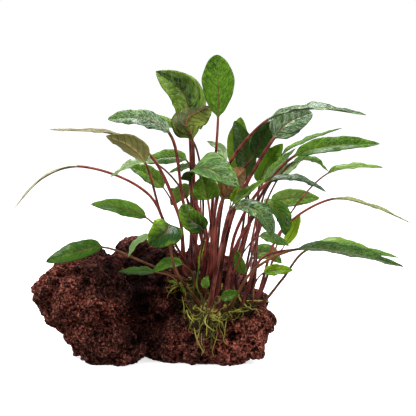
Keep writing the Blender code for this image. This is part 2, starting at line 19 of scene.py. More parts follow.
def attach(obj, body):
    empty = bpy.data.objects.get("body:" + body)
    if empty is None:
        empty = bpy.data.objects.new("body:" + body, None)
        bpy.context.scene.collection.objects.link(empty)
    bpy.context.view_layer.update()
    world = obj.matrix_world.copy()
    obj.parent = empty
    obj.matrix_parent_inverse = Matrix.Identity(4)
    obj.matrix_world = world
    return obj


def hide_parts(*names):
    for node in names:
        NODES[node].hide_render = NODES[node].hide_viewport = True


bl_info = {
    "name": "Cryptocoryne on stone",
    "version": (1, 0, 0),
    "blender": (4, 5, 0),
    "location": "3D View > Sidebar > Plant",
    "description": "Builds a water plant on lava stone, with its materials and a studio",
    "category": "Object",
}

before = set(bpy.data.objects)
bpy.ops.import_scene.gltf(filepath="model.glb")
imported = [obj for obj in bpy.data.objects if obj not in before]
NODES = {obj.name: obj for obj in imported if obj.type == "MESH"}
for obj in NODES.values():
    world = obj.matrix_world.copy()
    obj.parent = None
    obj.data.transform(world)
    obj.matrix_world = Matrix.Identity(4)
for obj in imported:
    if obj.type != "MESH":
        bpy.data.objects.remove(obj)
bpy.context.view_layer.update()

MM = 0.001

# The front view that the tables are drawn in, and the camera and lamps in metres
EYE_DISTANCE = 805.0
EYE_HEIGHT = 190.0
CAMERA_PLACE = (0.0, -0.8056, 0.1897)
CAMERA_AIM = (0.0, 0.0, 0.105)
CAMERA_LENS = 100.13
SENSOR_WIDTH = 36.0
LAMP_AIM = (0.0, 0.0, 0.1)
FLOOR_RADIUS = 30.0

# Seeds and shifts of what is left to chance
LEAF_SEED = 100
SMALL_LEAF_SEED = 200
ROOT_SEED = 41
STONE_SEED = 7
PIT_SHIFT = Vector((17.3, 5.1, 9.7))
FOAM_SHIFT = (11.9, 3.7, 7.3)
FIRST_FOAM_SEED = 5
SEED_SPREAD = 40.0

# The crowns that the leaves spring from
CROWN_RADIUS = 9.0
CROWN_SPREAD = math.radians(78)
CROWN_CELL = 0.7 * MM
CROWN_SMOOTHING = 6
CROWN_SCARS = 6.0
SCAR_HEIGHT = 0.35
GOLDEN_ANGLE = math.radians(137.508)
FOOT_GAP = 0.45
FOOT_STRAIGHT = 4.5
FOOT_DEPTH = 1.5

# How a leaf's skin is divided, and its finer sizes
CURVE_STEPS = 24
COLUMNS = 20
RING = 2 * COLUMNS
STALK_ROWS = 30
BLADE_ROWS = 46
COLUMN_CROWDING = 1.35
FOOT_FLARE = 1.35
NECK_SHARE = 0.85
OPENING_SHARE = 0.10
STALK_WOBBLE = 0.08
WIDTH_WOBBLE = 0.07
MARGIN_THICKNESS = 0.16
MARGIN_WAVES = 2.6
HALF_BULGE = 0.5
RIB_GROOVE = 0.22
RIB_GROOVE_REACH = 0.9
TIP_HALF_WIDTH = 0.12
VEIN_SPACING_SHARE = 0.27
VEIN_SLANT = 0.8
VEIN_CURVE = 0.9

Crown = namedtuple("Crown", "centre lean")
CROWNS = {
    "front": Crown((1, -29, 36), (0.0, -0.35, 1.0)),
    "back": Crown((-7, -8, 53.5), (-0.1, 0.05, 1.0)),
    "right": Crown((24, -16, 40), (0.3, -0.15, 1.0)),
}

# What the eye sees of a leaf beyond its shape: its stalk's colour, a tone of its own, how light and
# how silvery its left and right halves are with the tip held up, how mottled it is, how much
# lighter its margins are, how much lighter and more silvery its tip is, its quilting and its wavy
# margin in millimetres, the turn of its tip in degrees, how much thicker its stalk is than the
# solid's, and how light its stalk is. The lightness of the halves is partly the leaf's own tone and
# partly painted light and shade of a lit or shaded half; the lighter margins and tip are painted
# light, and the silver is a painted sheen, a painted reflection.
Touch = namedtuple(
    "Touch",
    "stalk tone light silver mottled rim tip quilt wave twist thick stem",
    defaults=("maroon", "", (0.5, 0.5), (0, 0), 0.5, 0, (0, 0), 0.3, 0.5, 0, 1.02, 0.3),
)

# The same leaves as the solids. The knee, neck, belly and tip are drawn in the front view, across
# and up as they look on the plane through the origin, and the depth behind that plane. The fold is
# in degrees, the face is where the upper side looks, and the outline is fuller the smaller it is.
# The widest place is a share of the blade's length.
Leaf = namedtuple(
    "Leaf",
    "name crown tone stalk width fold face knee neck belly tip outline touch widest",
    defaults=(Touch(), 0.4),
)
LEAVES = [Leaf(*row) for row in (
    ("arching_left", "back", "olive", 2.1, 12, 4, (0.25, 0, 1),
     (-40, 113, -4), (-91, 134.3, 8), (-115, 126.5, 12), (-136, 105, 14), 0.9,
     Touch(tone="straw_and_glare", light=(0.6, 0.6), mottled=0.3, quilt=0.15, wave=0.3, twist=28, stem=0.8)),
    ("olive_left", "back", "olive", 1.9, 20, 14, (0.3, 0.75, 0.6),
     (-32, 98.5, -24), (-44, 137, -32), (-54.5, 148, -38), (-71, 155.5, -46), 0.7,
     Touch(light=(0.65, 1.8), mottled=0.12, quilt=0.1, wave=0.35, stem=0.5)),
    ("long_left", "back", "olive", 2.4, 14, 4, (0.05, 0.1, 1),
     (-20, 98, -10), (-40, 142, -14), (-61, 156, -14), (-110, 160, -12), 0.8,
     Touch(tone="straw_and_glare", light=(0.15, 0.15), mottled=0.3, quilt=0.25, twist=24, stem=0.8)),
    ("silver_left", "back", "silver", 2.4, 15, 10, (-0.1, -0.75, 0.65),
     (-16.8, 107, -16), (-27, 157.5, -18), (-47, 167.4, -24), (-69.5, 167, -30), 0.5,
     Touch(light=(0.05, 0.6), silver=(0.8, 1), mottled=0.35, tip=(0.45, -0.9), quilt=0.45,
           wave=0.8, stem=0.5)),
    ("behind_silver", "back", "mid", 1.7, 11, 12, (0, -0.6, 0.8),
     (-3.5, 112, 6), (-10.5, 152, 2), (-25, 163, 0), (-42, 170, -6), 0.7,
     Touch(tone="light", light=(0.1, 1), silver=(0.1, 0.6), mottled=0.3)),
    ("big_top_left", "back", "dark", 2.4, 27, 18, (0.25, -1, 0.25),
     (-11.5, 108, 13), (-13, 162, 22), (-16, 183.3, 26), (-36, 200, 14), 0.68,
     Touch(tone="varied", light=(0.85, 0.38), silver=(0.08, 0.2), mottled=0.25, rim=0.7,
           tip=(0.1, 0.3), quilt=0.45, wave=0.7)),
    ("cupped_top", "back", "olive", 2.4, 23, 16, (0, 1, 0.25),
     (-9, 106, -6), (-11, 153, -12), (-15, 165, -8), (1.5, 176, 18), 0.55,
     Touch(tone="cup", light=(0.45, 0.05), mottled=0.2, rim=0.2, wave=0.8)),
    ("tall", "back", "mid", 2.1, 23, 8, (0, -1, 0.1),
     (3, 108, 2), (7, 168, 4), (7, 190, 6), (6, 211.5, 10), 0.6,
     Touch(light=(0.5, 0.7), mottled=0.35, quilt=0.5, wave=0.4, stem=0.75), 0.56),
    ("green_left", "back", "mid", 1.7, 12, 10, (0, -0.9, 0.55),
     (-7, 100, 20), (-15, 138.5, 25), (-29, 140.5, 24), (-44, 137, 20), 0.6,
     Touch(tone="mid", light=(0.1, 0.85), silver=(0.1, 0.25), mottled=0.4)),
    ("grey_left", "back", "silver", 1.5, 8, 14, (-0.1, -0.6, 0.8),
     (-14, 110, 2), (-37, 136.5, -2), (-51, 136.5, -4), (-68, 127, -6), 0.8,
     Touch(tone="pale", light=(0, 0.6), silver=(0.3, 0.7), wave=0.8)),
    ("under_grey", "back", "mid", 1.2, 14, 12, (0.2, -0.8, 0.6),
     (-20, 96, 4), (-31, 119, 8), (-42, 128.5, 8), (-55, 134.5, 8), 0.65,
     Touch(tone="light", light=(0.1, 0.3), silver=(0.05, 0), stem=0.6)),
    ("lone_left", "back", "mid", 1.3, 13, 10, (0.1, -0.75, 0.65),
     (-28, 80, -18), (-43, 98, -24), (-63, 105.5, -26), (-82, 107.7, -28), 0.65,
     Touch(light=(0.2, 0.75), silver=(0, 0.1), mottled=0.3, rim=0.2, quilt=0.2, wave=0.3)),
    ("over_stone_left", "back", "mid", 1.7, 15, 10, (0.1, -0.8, 0.6),
     (-44, 66, -32), (-74, 77.3, -30), (-95, 73.2, -28), (-114, 67, -24), 0.65,
     Touch(stalk="brown", light=(0.05, 0.2), silver=(0, 0.03), mottled=0.2, quilt=0.2, wave=0.3,
           stem=0.6)),
    ("heart_front", "front", "dark", 1.8, 22, 16, (0.15, -0.9, 0.45),
     (-24, 64, -43), (-27, 93, -45), (-29.5, 88, -53), (-41.5, 79, -58), 0.6,
     Touch(stalk="brown", tone="varied", light=(-0.2, 0.35), mottled=0.08, rim=0.7, stem=0.55)),
    ("edge_left", "back", "light", 1.2, 8, 14, (-0.4, -0.5, 0.75),
     (-22, 70, -26), (-36, 85, -32), (-49, 81, -36), (-56.5, 70, -40), 0.8,
     Touch(stalk="brown", tone="pale", light=(0.1, 0.15), silver=(0.2, 0.2), mottled=0.3)),
    ("low_pointed", "front", "mid", 1.1, 8, 10, (0, -0.6, 0.8),
     (-24, 55, -42), (-37, 59.5, -49), (-50, 60, -50), (-63, 60, -49), 0.7,
     Touch(stalk="brown", tone="dark", light=(0.05, 0.25), mottled=0.2, rim=0.15, quilt=0.15,
           stem=0.4)),
    ("low_curled", "front", "mid", 1.3, 10, 12, (-0.1, -0.7, 0.7),
     (-10, 57, -35), (-18, 65, -34), (-28, 65.5, -34), (-39, 59.5, -36), 0.7,
     Touch(stalk="brown", light=(0.15, 0.2), mottled=0.25, rim=0.2)),
    ("folded_left", "front", "dark", 1.4, 15, 16, (-0.2, -0.9, 0.4),
     (-5, 70, -38), (-3, 89, -42), (-12, 97, -46), (-18, 107.5, -41), 0.5,
     Touch(tone="varied", light=(0.05, 0.08), mottled=0.15, rim=0.3, tip=(0.4, 0))),
    ("glossy_centre", "front", "dark", 2.3, 29, 18, (0.05, -0.55, 0.83),
     (-1, 86, -25), (-12.6, 123.5, -26), (-4, 132.8, -37), (21.4, 119.8, -51), 0.7,
     Touch(tone="mid", light=(0.3, 0.05), silver=(0.2, 0), mottled=0.35, rim=0.3, tip=(0, 0.3),
           quilt=0.5, stem=0.55)),
    ("under_centre", "front", "dark", 1.8, 19, 10, (0, -1, 0.1),
     (2.3, 84, -30), (0, 110.5, -29), (-2, 120, -31), (-4, 127, -30), 0.55,
     Touch(tone="light", light=(0.5, 0.25), mottled=0.3, stem=0.6)),
    ("brown_back", "front", "red", 2.6, 19, 14, (0, 1, 0.2),
     (5.5, 88, -16), (10, 111, -16), (17, 122, -12), (26, 132.5, 4), 0.6,
     Touch(light=(0.6, 0.8), silver=(0.1, 0), mottled=0.6, stem=0.9)),
    ("pale_back", "back", "pale", 1.4, 7, 10, (0, -1, 0.2),
     (5, 100, 30), (11, 136, 46), (9.5, 146, 50), (-1, 152, 52), 0.8,
     Touch(light=(1, 1), silver=(0.3, 0.6), wave=1.2)),
    ("upright_front", "right", "dark", 1.9, 16, 12, (0, -1, 0),
     (24.5, 92, 10), (27, 128, 18), (25, 149, 20), (18.5, 166, 18), 0.6,
     Touch(light=(0.5, 0.6), silver=(0.35, 0.05), mottled=0.08)),
    ("upright_back", "right", "light", 1.7, 19, 12, (-0.1, -1, 0),
     (28, 93, 18), (27, 126, 28), (21.5, 149, 29), (22.5, 168.5, 27), 0.6,
     Touch(light=(1.4, 0.5), mottled=0.35)),
    ("dark_right", "back", "dark", 1.9, 16, 14, (0.3, -1, 0.2),
     (13, 118, 6), (31, 140, 9), (37, 153, 11), (45, 166, 14), 0.65,
     Touch(light=(0.3, 0.18), silver=(0.1, 0), mottled=0.15)),
    ("mid_right", "right", "mid", 1.8, 15, 12, (0, -1, 0.2),
     (34, 100, 11), (36, 121.5, 15), (42.5, 138, 16), (52, 150, 12.5), 0.65,
     Touch(light=(1, 1), mottled=0.3)),
    ("quilted_top", "front", "silver", 2.8, 21, 10, (-0.1, -0.95, 0.3),
     (18, 102, -20), (46, 154, -7), (56, 164.8, 0), (72.3, 171.5, 7), 0.55,
     Touch(light=(0.5, 0.45), silver=(0.45, 0.5), mottled=0.4, quilt=0.75, wave=0.8, stem=0.45)),
    ("long_top_right", "back", "silver", 2.3, 13, 16, (0, -0.3, 0.95),
     (9, 124, -2), (42, 167, -13), (72, 174.6, -22), (110, 170, -26), 0.7,
     Touch(tone="silver", light=(0.4, 1), silver=(0.55, 0.95), mottled=0.4, quilt=0.45, wave=0.9,
           stem=0.5)),
    ("long_right", "right", "mid", 2.3, 14, 14, (-0.1, -0.75, 0.65),
     (36, 112, -8), (60, 141.3, -8), (88, 149, -10), (119.5, 150, -12), 0.65,
     Touch(light=(0.5, 0.25), silver=(0.05, 0), quilt=0.5)),
    ("light_right", "right", "light", 1.5, 8, 14, (-0.2, -0.3, 0.9),
     (38, 110, 16), (51, 142, 16), (68, 152, 16), (93, 161, 14), 0.9,
     Touch(tone="mid", light=(0.75, 0.1), silver=(0.3, 0.3))),
    ("strip_right", "right", "silver", 1.4, 8, 12, (-0.4, -0.6, 0.5),
     (32, 102, 0), (39, 124, 2), (50, 136, 4), (61, 147, 4), 0.8,
     Touch(tone="mid", light=(1, 0.25), silver=(0.35, 0.5))),
    ("strip_centre", "front", "silver", 1.4, 8, 14, (-0.45, -0.6, 0.6),
     (11, 90, -30), (17, 107, -36), (28, 116.5, -38), (41, 125.5, -38), 0.8,
     Touch(tone="light", light=(0.3, 0.3), silver=(0.1, 0.1))),
    ("under_strip", "right", "mid", 1.4, 10, 12, (-0.2, -0.7, 0.6),
     (36, 104, 6), (44, 123, 8), (54, 131, 9), (65, 138.5, 9), 0.7,
     Touch(tone="pale", light=(0.3, 1))),
    ("drooping_right", "right", "mid", 1.4, 8, 14, (0.2, -0.5, 0.85),
     (42, 112, 2), (59, 137, 0), (73, 138.8, 0), (84, 131, -2), 0.8,
     Touch(light=(0.9, 0.3), silver=(0.25, 0.25))),
    ("light_far_right", "right", "light", 1.3, 10, 16, (0, -0.35, 0.95),
     (56.5, 99, 8), (83, 129, 10), (100, 133.5, 10), (122, 133.5, 10), 0.65,
     Touch(stalk="pink", tone="light", light=(0.6, 0.4), silver=(0.1, 0.35), mottled=0.4)),
    ("glossy_right", "front", "silver", 2.4, 12, 12, (0.1, -0.3, 0.95),
     (19.5, 88, -26), (43, 123.5, -28), (64, 124.7, -30), (82.5, 116.5, -32), 0.65,
     Touch(light=(0.1, 0), silver=(0.4, 0), quilt=0.5, stem=0.9)),
    ("pale_right", "right", "light", 1.5, 14, 12, (0, -0.9, 0.4),
     (36, 88, 14), (44, 108, 16), (57, 111.8, 18), (78, 112, 20), 0.65,
     Touch(light=(1, 0.4), silver=(0.3, 0.1), mottled=0.6, quilt=0.45, stem=0.6)),
    ("arching_right", "right", "olive", 2, 11, 5, (0.1, -0.15, 1),
     (51, 88.5, -8), (87.5, 111.5, -6), (113.5, 107, -6), (142, 94.6, -6), 0.7,
     Touch(tone="olive", light=(0.6, 0.3), silver=(0.3, 0.3), mottled=0.4, stem=0.9)),
    ("quilted_front", "front", "silver", 2.8, 15, 14, (0.3, -0.75, 0.6),
     (12, 89, -36), (18.5, 105.5, -42), (37, 101, -52), (45.5, 85, -56), 0.55,
     Touch(stalk="pink", silver=(0.25, 0.05), mottled=0.7, quilt=0.7, stem=0.35)),
    ("round_front", "front", "dark", 2.4, 15, 12, (0.6, -0.75, 0.3),
     (20.5, 80, -32), (42, 107, -35), (52, 99, -38), (54, 86, -40), 0.55,
     Touch(tone="mid", light=(0.2, 0), mottled=0.4, rim=0.3, quilt=0.4, stem=0.25)),
    ("lime_upright", "right", "lime", 1.1, 9, 10, (-0.4, -0.85, 0.2),
     (44, 64, 4), (54, 79, 8), (60.5, 91, 10), (64.5, 102, 10), 0.7,
     Touch(light=(1, 1.3), mottled=0.4)),
    ("small_dark", "front", "dark", 1.2, 9, 12, (0, -0.7, 0.7),
     (24, 72, -40), (36, 85, -46), (46, 83, -48), (57, 78.5, -48), 0.7,
     Touch(light=(0.9, 0.6), silver=(0.25, 0))),
    ("low_right_back", "right", "mid", 2, 11, 14, (0, -0.45, 0.9),
     (38, 69.5, -30), (62, 75.7, -28), (97, 76.8, -26), (134, 69.9, -24), 0.65,
     Touch(tone="mid", light=(0.7, 0), silver=(0.2, 0.2), quilt=0.35, stem=0.45)),
    ("low_right_front", "front", "dark", 2.1, 15, 14, (0, -0.4, 0.9),
     (32, 61, -42), (62, 75.8, -42), (96, 74, -42), (138, 63.4, -40), 0.65,
     Touch(stalk="brown", light=(0.3, 0), silver=(0.05, 0.4), mottled=0.4, quilt=0.4, stem=0.7)),
    ("low_right_lime", "right", "lime", 1.1, 12, 14, (0, -0.35, 0.95),
     (52, 54, -10), (68, 74.5, -8), (92, 80.5, -8), (116, 75, -6), 0.65,
     Touch(stalk="brown", tone="light", light=(1, 1), silver=(0.15, 0.15), mottled=0.4, thick=1.9,
           stem=0.7)),
    ("lime_low", "right", "lime", 1.3, 9, 12, (0, -0.8, 0.6),
     (33, 51, -23), (39, 59, -25), (49, 61, -26), (60, 61, -26), 0.7,
     Touch(stalk="brown", light=(0.6, 0.05), mottled=0.4, stem=0.6)),
    ("young_right", "right", "dark", 1.2, 9, 12, (-0.3, -1, 0),
     (25, 53, -24), (25, 58, -24), (22, 66, -23), (20, 75, -22), 0.7,
     Touch(tone="light", light=(0.35, 0.75), mottled=0.3, quilt=0.2, stem=0.5)),
    ("young_base", "front", "mid", 1.2, 8, 10, (0, -0.9, 0.4),
     (6, 42, -42), (9, 41.5, -44), (15, 43, -46), (21.5, 46, -46), 0.7,
     Touch(stalk="brown", light=(0.25, 0.15), mottled=0.4, quilt=0.2)),
    ("young_pale", "front", "pale", 1.1, 6, 10, (0, -1, 0),
     (-1, 46, -41), (-1, 48, -43), (-2, 52, -44), (0, 57, -44), 0.7,
     Touch(stalk="brown", tone="light", light=(0.35, 0.65), silver=(0.1, 0.1), quilt=0.1)),
    ("behind_left_low", "back", "mid", 1.4, 11, 12, (0.2, -0.9, 0.4),
     (-10.5, 92, 17), (-12, 119, 26), (-20, 115, 28), (-26, 107, 30), 0.65,
     Touch(tone="light", light=(0.35, 0.9), silver=(0, 0.2))),
    ("behind_left_high", "back", "mid", 1.4, 8, 12, (0, -0.6, 0.8),
     (-5, 104, 24), (-8, 134, 32), (-18, 133, 34), (-27, 130, 36), 0.7,
     Touch(light=(0, 0.1), silver=(0.05, 0.15))),
    ("pale_low_back", "right", "pale", 1.5, 13, 12, (0, -0.8, 0.5),
     (28, 62, 20), (32, 70, 34), (41, 74, 38), (52, 66, 40), 0.65,
     Touch(tone="light", light=(0.3, 0.2), silver=(0.2, 0))),
    ("back_left", "back", "mid", 1.9, 15, 16, (0, 0.2, 1),
     (-11, 88, 30), (-15, 112, 52), (-20, 117, 72), (-23, 108, 94), 0.65),
    ("back_right", "right", "mid", 1.9, 15, 16, (0, 0.2, 1),
     (32, 82, 34), (42, 106, 56), (48, 110, 76), (52, 98, 98), 0.65),
    ("back_centre", "back", "dark", 2, 16, 16, (0, 0.2, 1),
     (2, 94, 34), (5, 124, 60), (8, 128, 82), (11, 118, 106), 0.65),
)]

# Small leaves among the stalks, too fine for solids
SMALL_LEAVES = [Leaf(*row) for row in (
    ("spear", "front", "lime", 1.2, 3, 20, (-0.5, -0.85, 0),
     (-8, 50, -34), (-6.5, 62, -33), (-4.5, 73, -31), (-2, 85, -30), 0.7,
     Touch(stalk="green")),
    ("sliver", "front", "lime", 1, 4, 20, (-0.3, -0.9, 0.2),
     (13, 92, -27), (16, 109, -27), (18.5, 115, -27), (22, 121, -27), 0.8,
     Touch(stalk="green")),
    ("bud_teal", "front", "light", 0.9, 3.5, 12, (0, -0.6, 0.8),
     (-15, 49, -34), (-21, 50.5, -36), (-24, 52, -37), (-28.5, 53.5, -38), 0.8,
     Touch(stalk="green")),
    ("bud_green", "front", "lime", 0.9, 3, 12, (0, -0.9, 0.4),
     (-13, 44, -37), (-16.5, 45.5, -38), (-18, 47, -39), (-20, 49.5, -40), 0.8,
     Touch(stalk="green")),
)]

# Each tone's upper side in shade and in light, its underside, and its veins
Tone = namedtuple("Tone", "deep light under vein")
TONES = {
    "dark": Tone((0.012, 0.042, 0.005), (0.09, 0.21, 0.02), (0.1, 0.15, 0.03), (0.1, 0.13, 0.03)),
    "mid": Tone((0.022, 0.075, 0.004), (0.15, 0.33, 0.018), (0.15, 0.24, 0.04), (0.17, 0.2, 0.05)),
    "light": Tone((0.06, 0.15, 0.008), (0.24, 0.42, 0.04), (0.22, 0.33, 0.07), (0.25, 0.3, 0.08)),
    "varied": Tone((0.012, 0.048, 0.006), (0.26, 0.45, 0.03), (0.22, 0.33, 0.05),
        (0.08, 0.13, 0.02)),
    "lime": Tone((0.1, 0.23, 0.004), (0.47, 0.8, 0.03), (0.3, 0.42, 0.03), (0.4, 0.42, 0.08)),
    "pale": Tone((0.17, 0.3, 0.08), (0.44, 0.62, 0.28), (0.35, 0.48, 0.2), (0.45, 0.52, 0.28)),
    # The olive underside is lightened with painted light, the glare of the bright backdrop on
    # leaves seen edge-on
    "olive": Tone((0.075, 0.09, 0.012), (0.36, 0.38, 0.11), (0.61, 0.6, 0.2), (0.38, 0.16, 0.08)),
    "silver": Tone((0.01, 0.042, 0.014), (0.12, 0.23, 0.045), (0.12, 0.18, 0.05),
        (0.15, 0.17, 0.07)),
    "cup": Tone((0.016, 0.042, 0.004), (0.12, 0.18, 0.025), (0.19, 0.28, 0.03),
        (0.17, 0.055, 0.028)),
    # A pale yellowish tone, partly a painted reflection of the bright backdrop on leaves seen
    # edge-on
    "straw_and_glare": Tone((0.18, 0.16, 0.07), (0.58, 0.56, 0.34), (0.62, 0.58, 0.36), (0.38, 0.18, 0.11)),
    "red": Tone((0.07, 0.07, 0.012), (0.14, 0.15, 0.03), (0.24, 0.11, 0.04), (0.2, 0.04, 0.02)),
}
# The stalks' colours in shade and in light
STALKS = {
    "maroon": ((0.034, 0.005, 0.007), (0.4, 0.085, 0.055)),
    "pink": ((0.11, 0.018, 0.016), (0.56, 0.19, 0.13)),
    "brown": ((0.04, 0.013, 0.004), (0.27, 0.11, 0.045)),
    "green": ((0.09, 0.13, 0.012), (0.2, 0.3, 0.03)),
}
STALK_NECK = (0.13, 0.10, 0.045)

# The stone's round pits: the cell that holds each, the largest radius and the depth
PIT_CELL, PIT_RADIUS, PIT_DEPTH = 5.2, 1.9, 1.7
# Its foam of small cells with ridges between them, a millimetre deep: the cells' sizes
FOAM_CELLS = (4.6, 2.3)
# Its lumps, and how far the pits and the foam are pushed out of line
LUMP_SIZE, LUMP_HEIGHT = 7.0, 1.1
WARP_SIZE, WARP_REACH = 4.0, 1.1
# How often its facets are smoothed, and how far its skin swells to make up for what is sunk into it
STONE_SMOOTHING = 14
SWELLING = 0.6
# Its own hollows in the front view, sunk into the stone and painted with shade: across, up, radius
# and depth
HOLLOWS = (
    (16.4, 13.6, 3.8, 2.8), (-12.5, 10.5, 5.6, 2.6), (42.4, 16.6, 3.2, 2.2), (29.4, 30.6, 3.6, 2.2),
    (-45.6, 41, 5.5, 2.2), (-46.5, 32, 5.5, 2.2), (-35.6, 26.6, 4.6, 2), (-51.6, 11.6, 6, 2),
    (-86.6, 51.6, 4.2, 2.2), (-73.6, 29.6, 4, 1.8), (-62.6, 26.6, 3.2, 1.8),
    (-91.6, 32.6, 3.4, 1.8), (-32.6, 52.6, 5, 1.8), (-42, 75, 4, 1.6), (-104.5, 57.5, 3.6, 1.6),
    (-71, 62, 4.4, 1.6),
    (38.5, 25, 2.6, 1.6), (-80, 16, 3.4, 1.4), (5, 2.5, 3, 1.4), (31, 8, 2.4, 1.4),
)
# Painted light and shade on its regions in the front view, lighter where the light falls and darker
# where the leaves shade it: across, up, reach and tone
PAINTED_LIGHT_REGIONS = (
    (32, 18, 22, 1.1), (-95, 34, 22, 0.45), (-35, 20, 20, -0.6), (-50, 40, 10, -1.2),
    (-52, 14, 10, -1.0), (-38, 70, 20, -0.9), (0, 32, 16, -1.2), (-6, 10, 8, 0.3),
    (-80, 8, 16, -0.3), (-75, 64, 20, -0.9), (-50, 58, 12, -0.8), (-20, 12, 8, 0.5),
)

# How finely roots are made: the sides of their tubes, the stride of their paths, and for those seen
# one by one, the steps between two of their points and how far they lie before the rest
ROOT_SIDES = 5
ROOT_STRIDE = 0.9
SINGLE_ROOT_STEPS = 9
SINGLE_ROOT_LIFT = 1.2
# The share of roots that catch the light, and how thick those and the others are
BRIGHT_SHARE = 0.27
BRIGHT_THICKNESS, DULL_THICKNESS = 1.2, 0.9
# Where roots start in the front view: a box across and up, the heading and its spread in degrees,
# the reach in millimetres, how strongly they bend, and their share of all
RootGroup = namedtuple("RootGroup", "low high heading spread reach bend share")
ROOT_GROUPS = (
    RootGroup((-13, 31), (14, 43), -95, 60, (9, 22), 0.11, 0.40),
    RootGroup((-12, 24), (14, 38), -90, 180, (8, 18), 0.15, 0.28),
    RootGroup((-6, 14), (6, 24), -92, 14, (8, 18), 0.06, 0.04),
    RootGroup((8, 32), (22, 44), -30, 45, (8, 16), 0.12, 0.07),
    RootGroup((-24, 42), (-10, 58), 215, 50, (5, 14), 0.12, 0.07),
    RootGroup((-14, 42), (10, 54), -90, 70, (8, 16), 0.16, 0.06),
    RootGroup((-9, 37), (11, 43), -90, 40, (7, 16), 0.14, 0.08),
)
# Roots seen one by one: points in the front view and the radius in millimetres
SINGLE_ROOTS = (
    (((-0.2, 39.5), (1.1, 34.4), (0.4, 29.3), (-2.1, 24.8), (-1.5, 22.3), (4.3, 17.2)), 0.50),
    (((-4.6, 34.4), (-3.1, 31.8), (-3.4, 27.4)), 0.36),
    (((-15.1, 32.5), (-13.6, 28), (-9.7, 23.5)), 0.34),
    (((-18.6, 42.6), (-17, 35.6), (-17, 29.9)), 0.30),
    (((-9.7, 19.7), (-8.5, 13.4), (-5.9, 7), (-4, 3.2), (-4.6, -0.6)), 0.42),
    (((-4.6, 15.9), (-4.6, 8.9), (-2.7, 3.8), (-4.6, 0)), 0.24),
    (((-0.8, 21.6), (-1.1, 13.4)), 0.32),
    (((6.5, 21.6), (6.2, 13.4), (4.3, 7), (3, 1.9), (4.6, -1.9)), 0.24),
    (((8.1, 24.8), (8.1, 19.7), (10.6, 14.6), (11.3, 10.2), (14.4, 6.4)), 0.26),
    (((13.2, 25.5), (11.9, 18.5), (11.9, 12.1)), 0.30),
    (((10.6, 32.5), (17, 31.2), (20.8, 32.5), (24, 33.4)), 0.34),
    (((21.4, 43.9), (22.7, 40.1), (25.3, 36.9), (27.8, 34.7)), 0.62),
    (((18.3, 41.4), (16.4, 38.2), (14.4, 35)), 0.55),
    (((28.4, 35), (31, 33.1), (34.2, 33.1), (36.7, 28)), 0.28),
    (((27.2, 39.1), (33.5, 39.1), (39.9, 39.1), (44.4, 37.5), (47.2, 34.4)), 0.44),
    (((-17, 50), (-22, 49), (-27.5, 46)), 0.26),
    (((-14, 55), (-20, 52), (-26, 49.5)), 0.24),
    (((-10, 61), (-15, 58), (-20, 54)), 0.26),
    (((-4.6, 42), (-3.4, 38.8)), 0.6),
    (((10, 51.5), (9.4, 47)), 0.6),
)


# What a user may change


def amount(name, description, default, **more):
    return bpy.props.FloatProperty(
        name=name, description=description, default=default, min=0.0, **more
    )


def length(name, description, default):
    return amount(name, description, default, subtype="DISTANCE", unit="LENGTH", precision=5)


def colour(name, description, default):
    return bpy.props.FloatVectorProperty(
        name=name, description=description, default=default, subtype="COLOR", min=0.0, max=1.0
    )


class StoneLook(bpy.types.PropertyGroup):
    grain: length("Grain", "Size of the stone's mesh cells", 0.78 * MM)
    pit_depth: amount("Pit depth", "How deep the hollows go, as a share of the usual", 1.0)
    # The colour of the painted shade in the stone's hollows, pits, pores and crevices and between
    # its grains
    deep: colour("Hollows", "Colour deep in the pits", (0.0035, 0.001, 0.0009))
    body: colour("Body", "Colour of most of the stone", (0.16, 0.041, 0.029))
    rust: colour("Rust", "Redder patches", (0.55, 0.105, 0.06))
    # Partly the colour of rubbed, dusty ridges, partly painted highlight
    wear_and_highlight: colour("Worn edges", "Colour of the ridges between pits", (0.7, 0.25, 0.18))


class LeafLook(bpy.types.PropertyGroup):
    gloss: amount("Gloss", "Strength of the leaves' waxy coat", 0.2, max=1.0, subtype="FACTOR")
    # The colour of the painted silvery sheen, a painted reflection
    silver: colour("Silver sheen", "Colour of the silvery bloom", (0.39, 0.5, 0.34))
    margin: colour("Margin", "Colour of the thin line round a blade", (0.12, 0.06, 0.02))
    rib: colour("Midrib", "Colour of the midrib near the stalk", (0.17, 0.055, 0.035))


class RootLook(bpy.types.PropertyGroup):
    fibres: bpy.props.IntProperty(
        name="Fibres", description="Number of fine roots in the mat", default=440, min=1
    )
    thinnest: length("Thinnest", "Radius of the finest roots", 0.12 * MM)
    thickest: length("Thickest", "Radius of the thickest roots", 0.30 * MM)
    # The young root colour also serves as painted light on the roots that catch it, and the colour
    # below as painted shade on the rest
    young: colour("Young root", "Colour of fresh roots", (0.68, 0.62, 0.1))
    old: colour("Old root", "Colour of older roots", (0.02, 0.018, 0.004))


class StageLook(bpy.types.PropertyGroup):
    floor: colour("Floor", "Colour of the floor", (0.92, 0.92, 0.92))
    surround: amount("Surround", "Strength of the even white light from above", 0.52)
    shine_front: amount("Front shine", "Brightness that gloss shows before the plant", 0.04)
    shine_back: amount("Back shine", "Brightness that gloss shows behind the plant", 0.7)
    key: amount("Left lamp", "Power of the lamp at the upper left", 9.0, unit="POWER")
    fill: amount("Right lamp", "Power of the lamp at the right", 8.0, unit="POWER")
    top: amount("Top lamp", "Power of the lamp overhead", 14.0, unit="POWER")


# Shader expressions


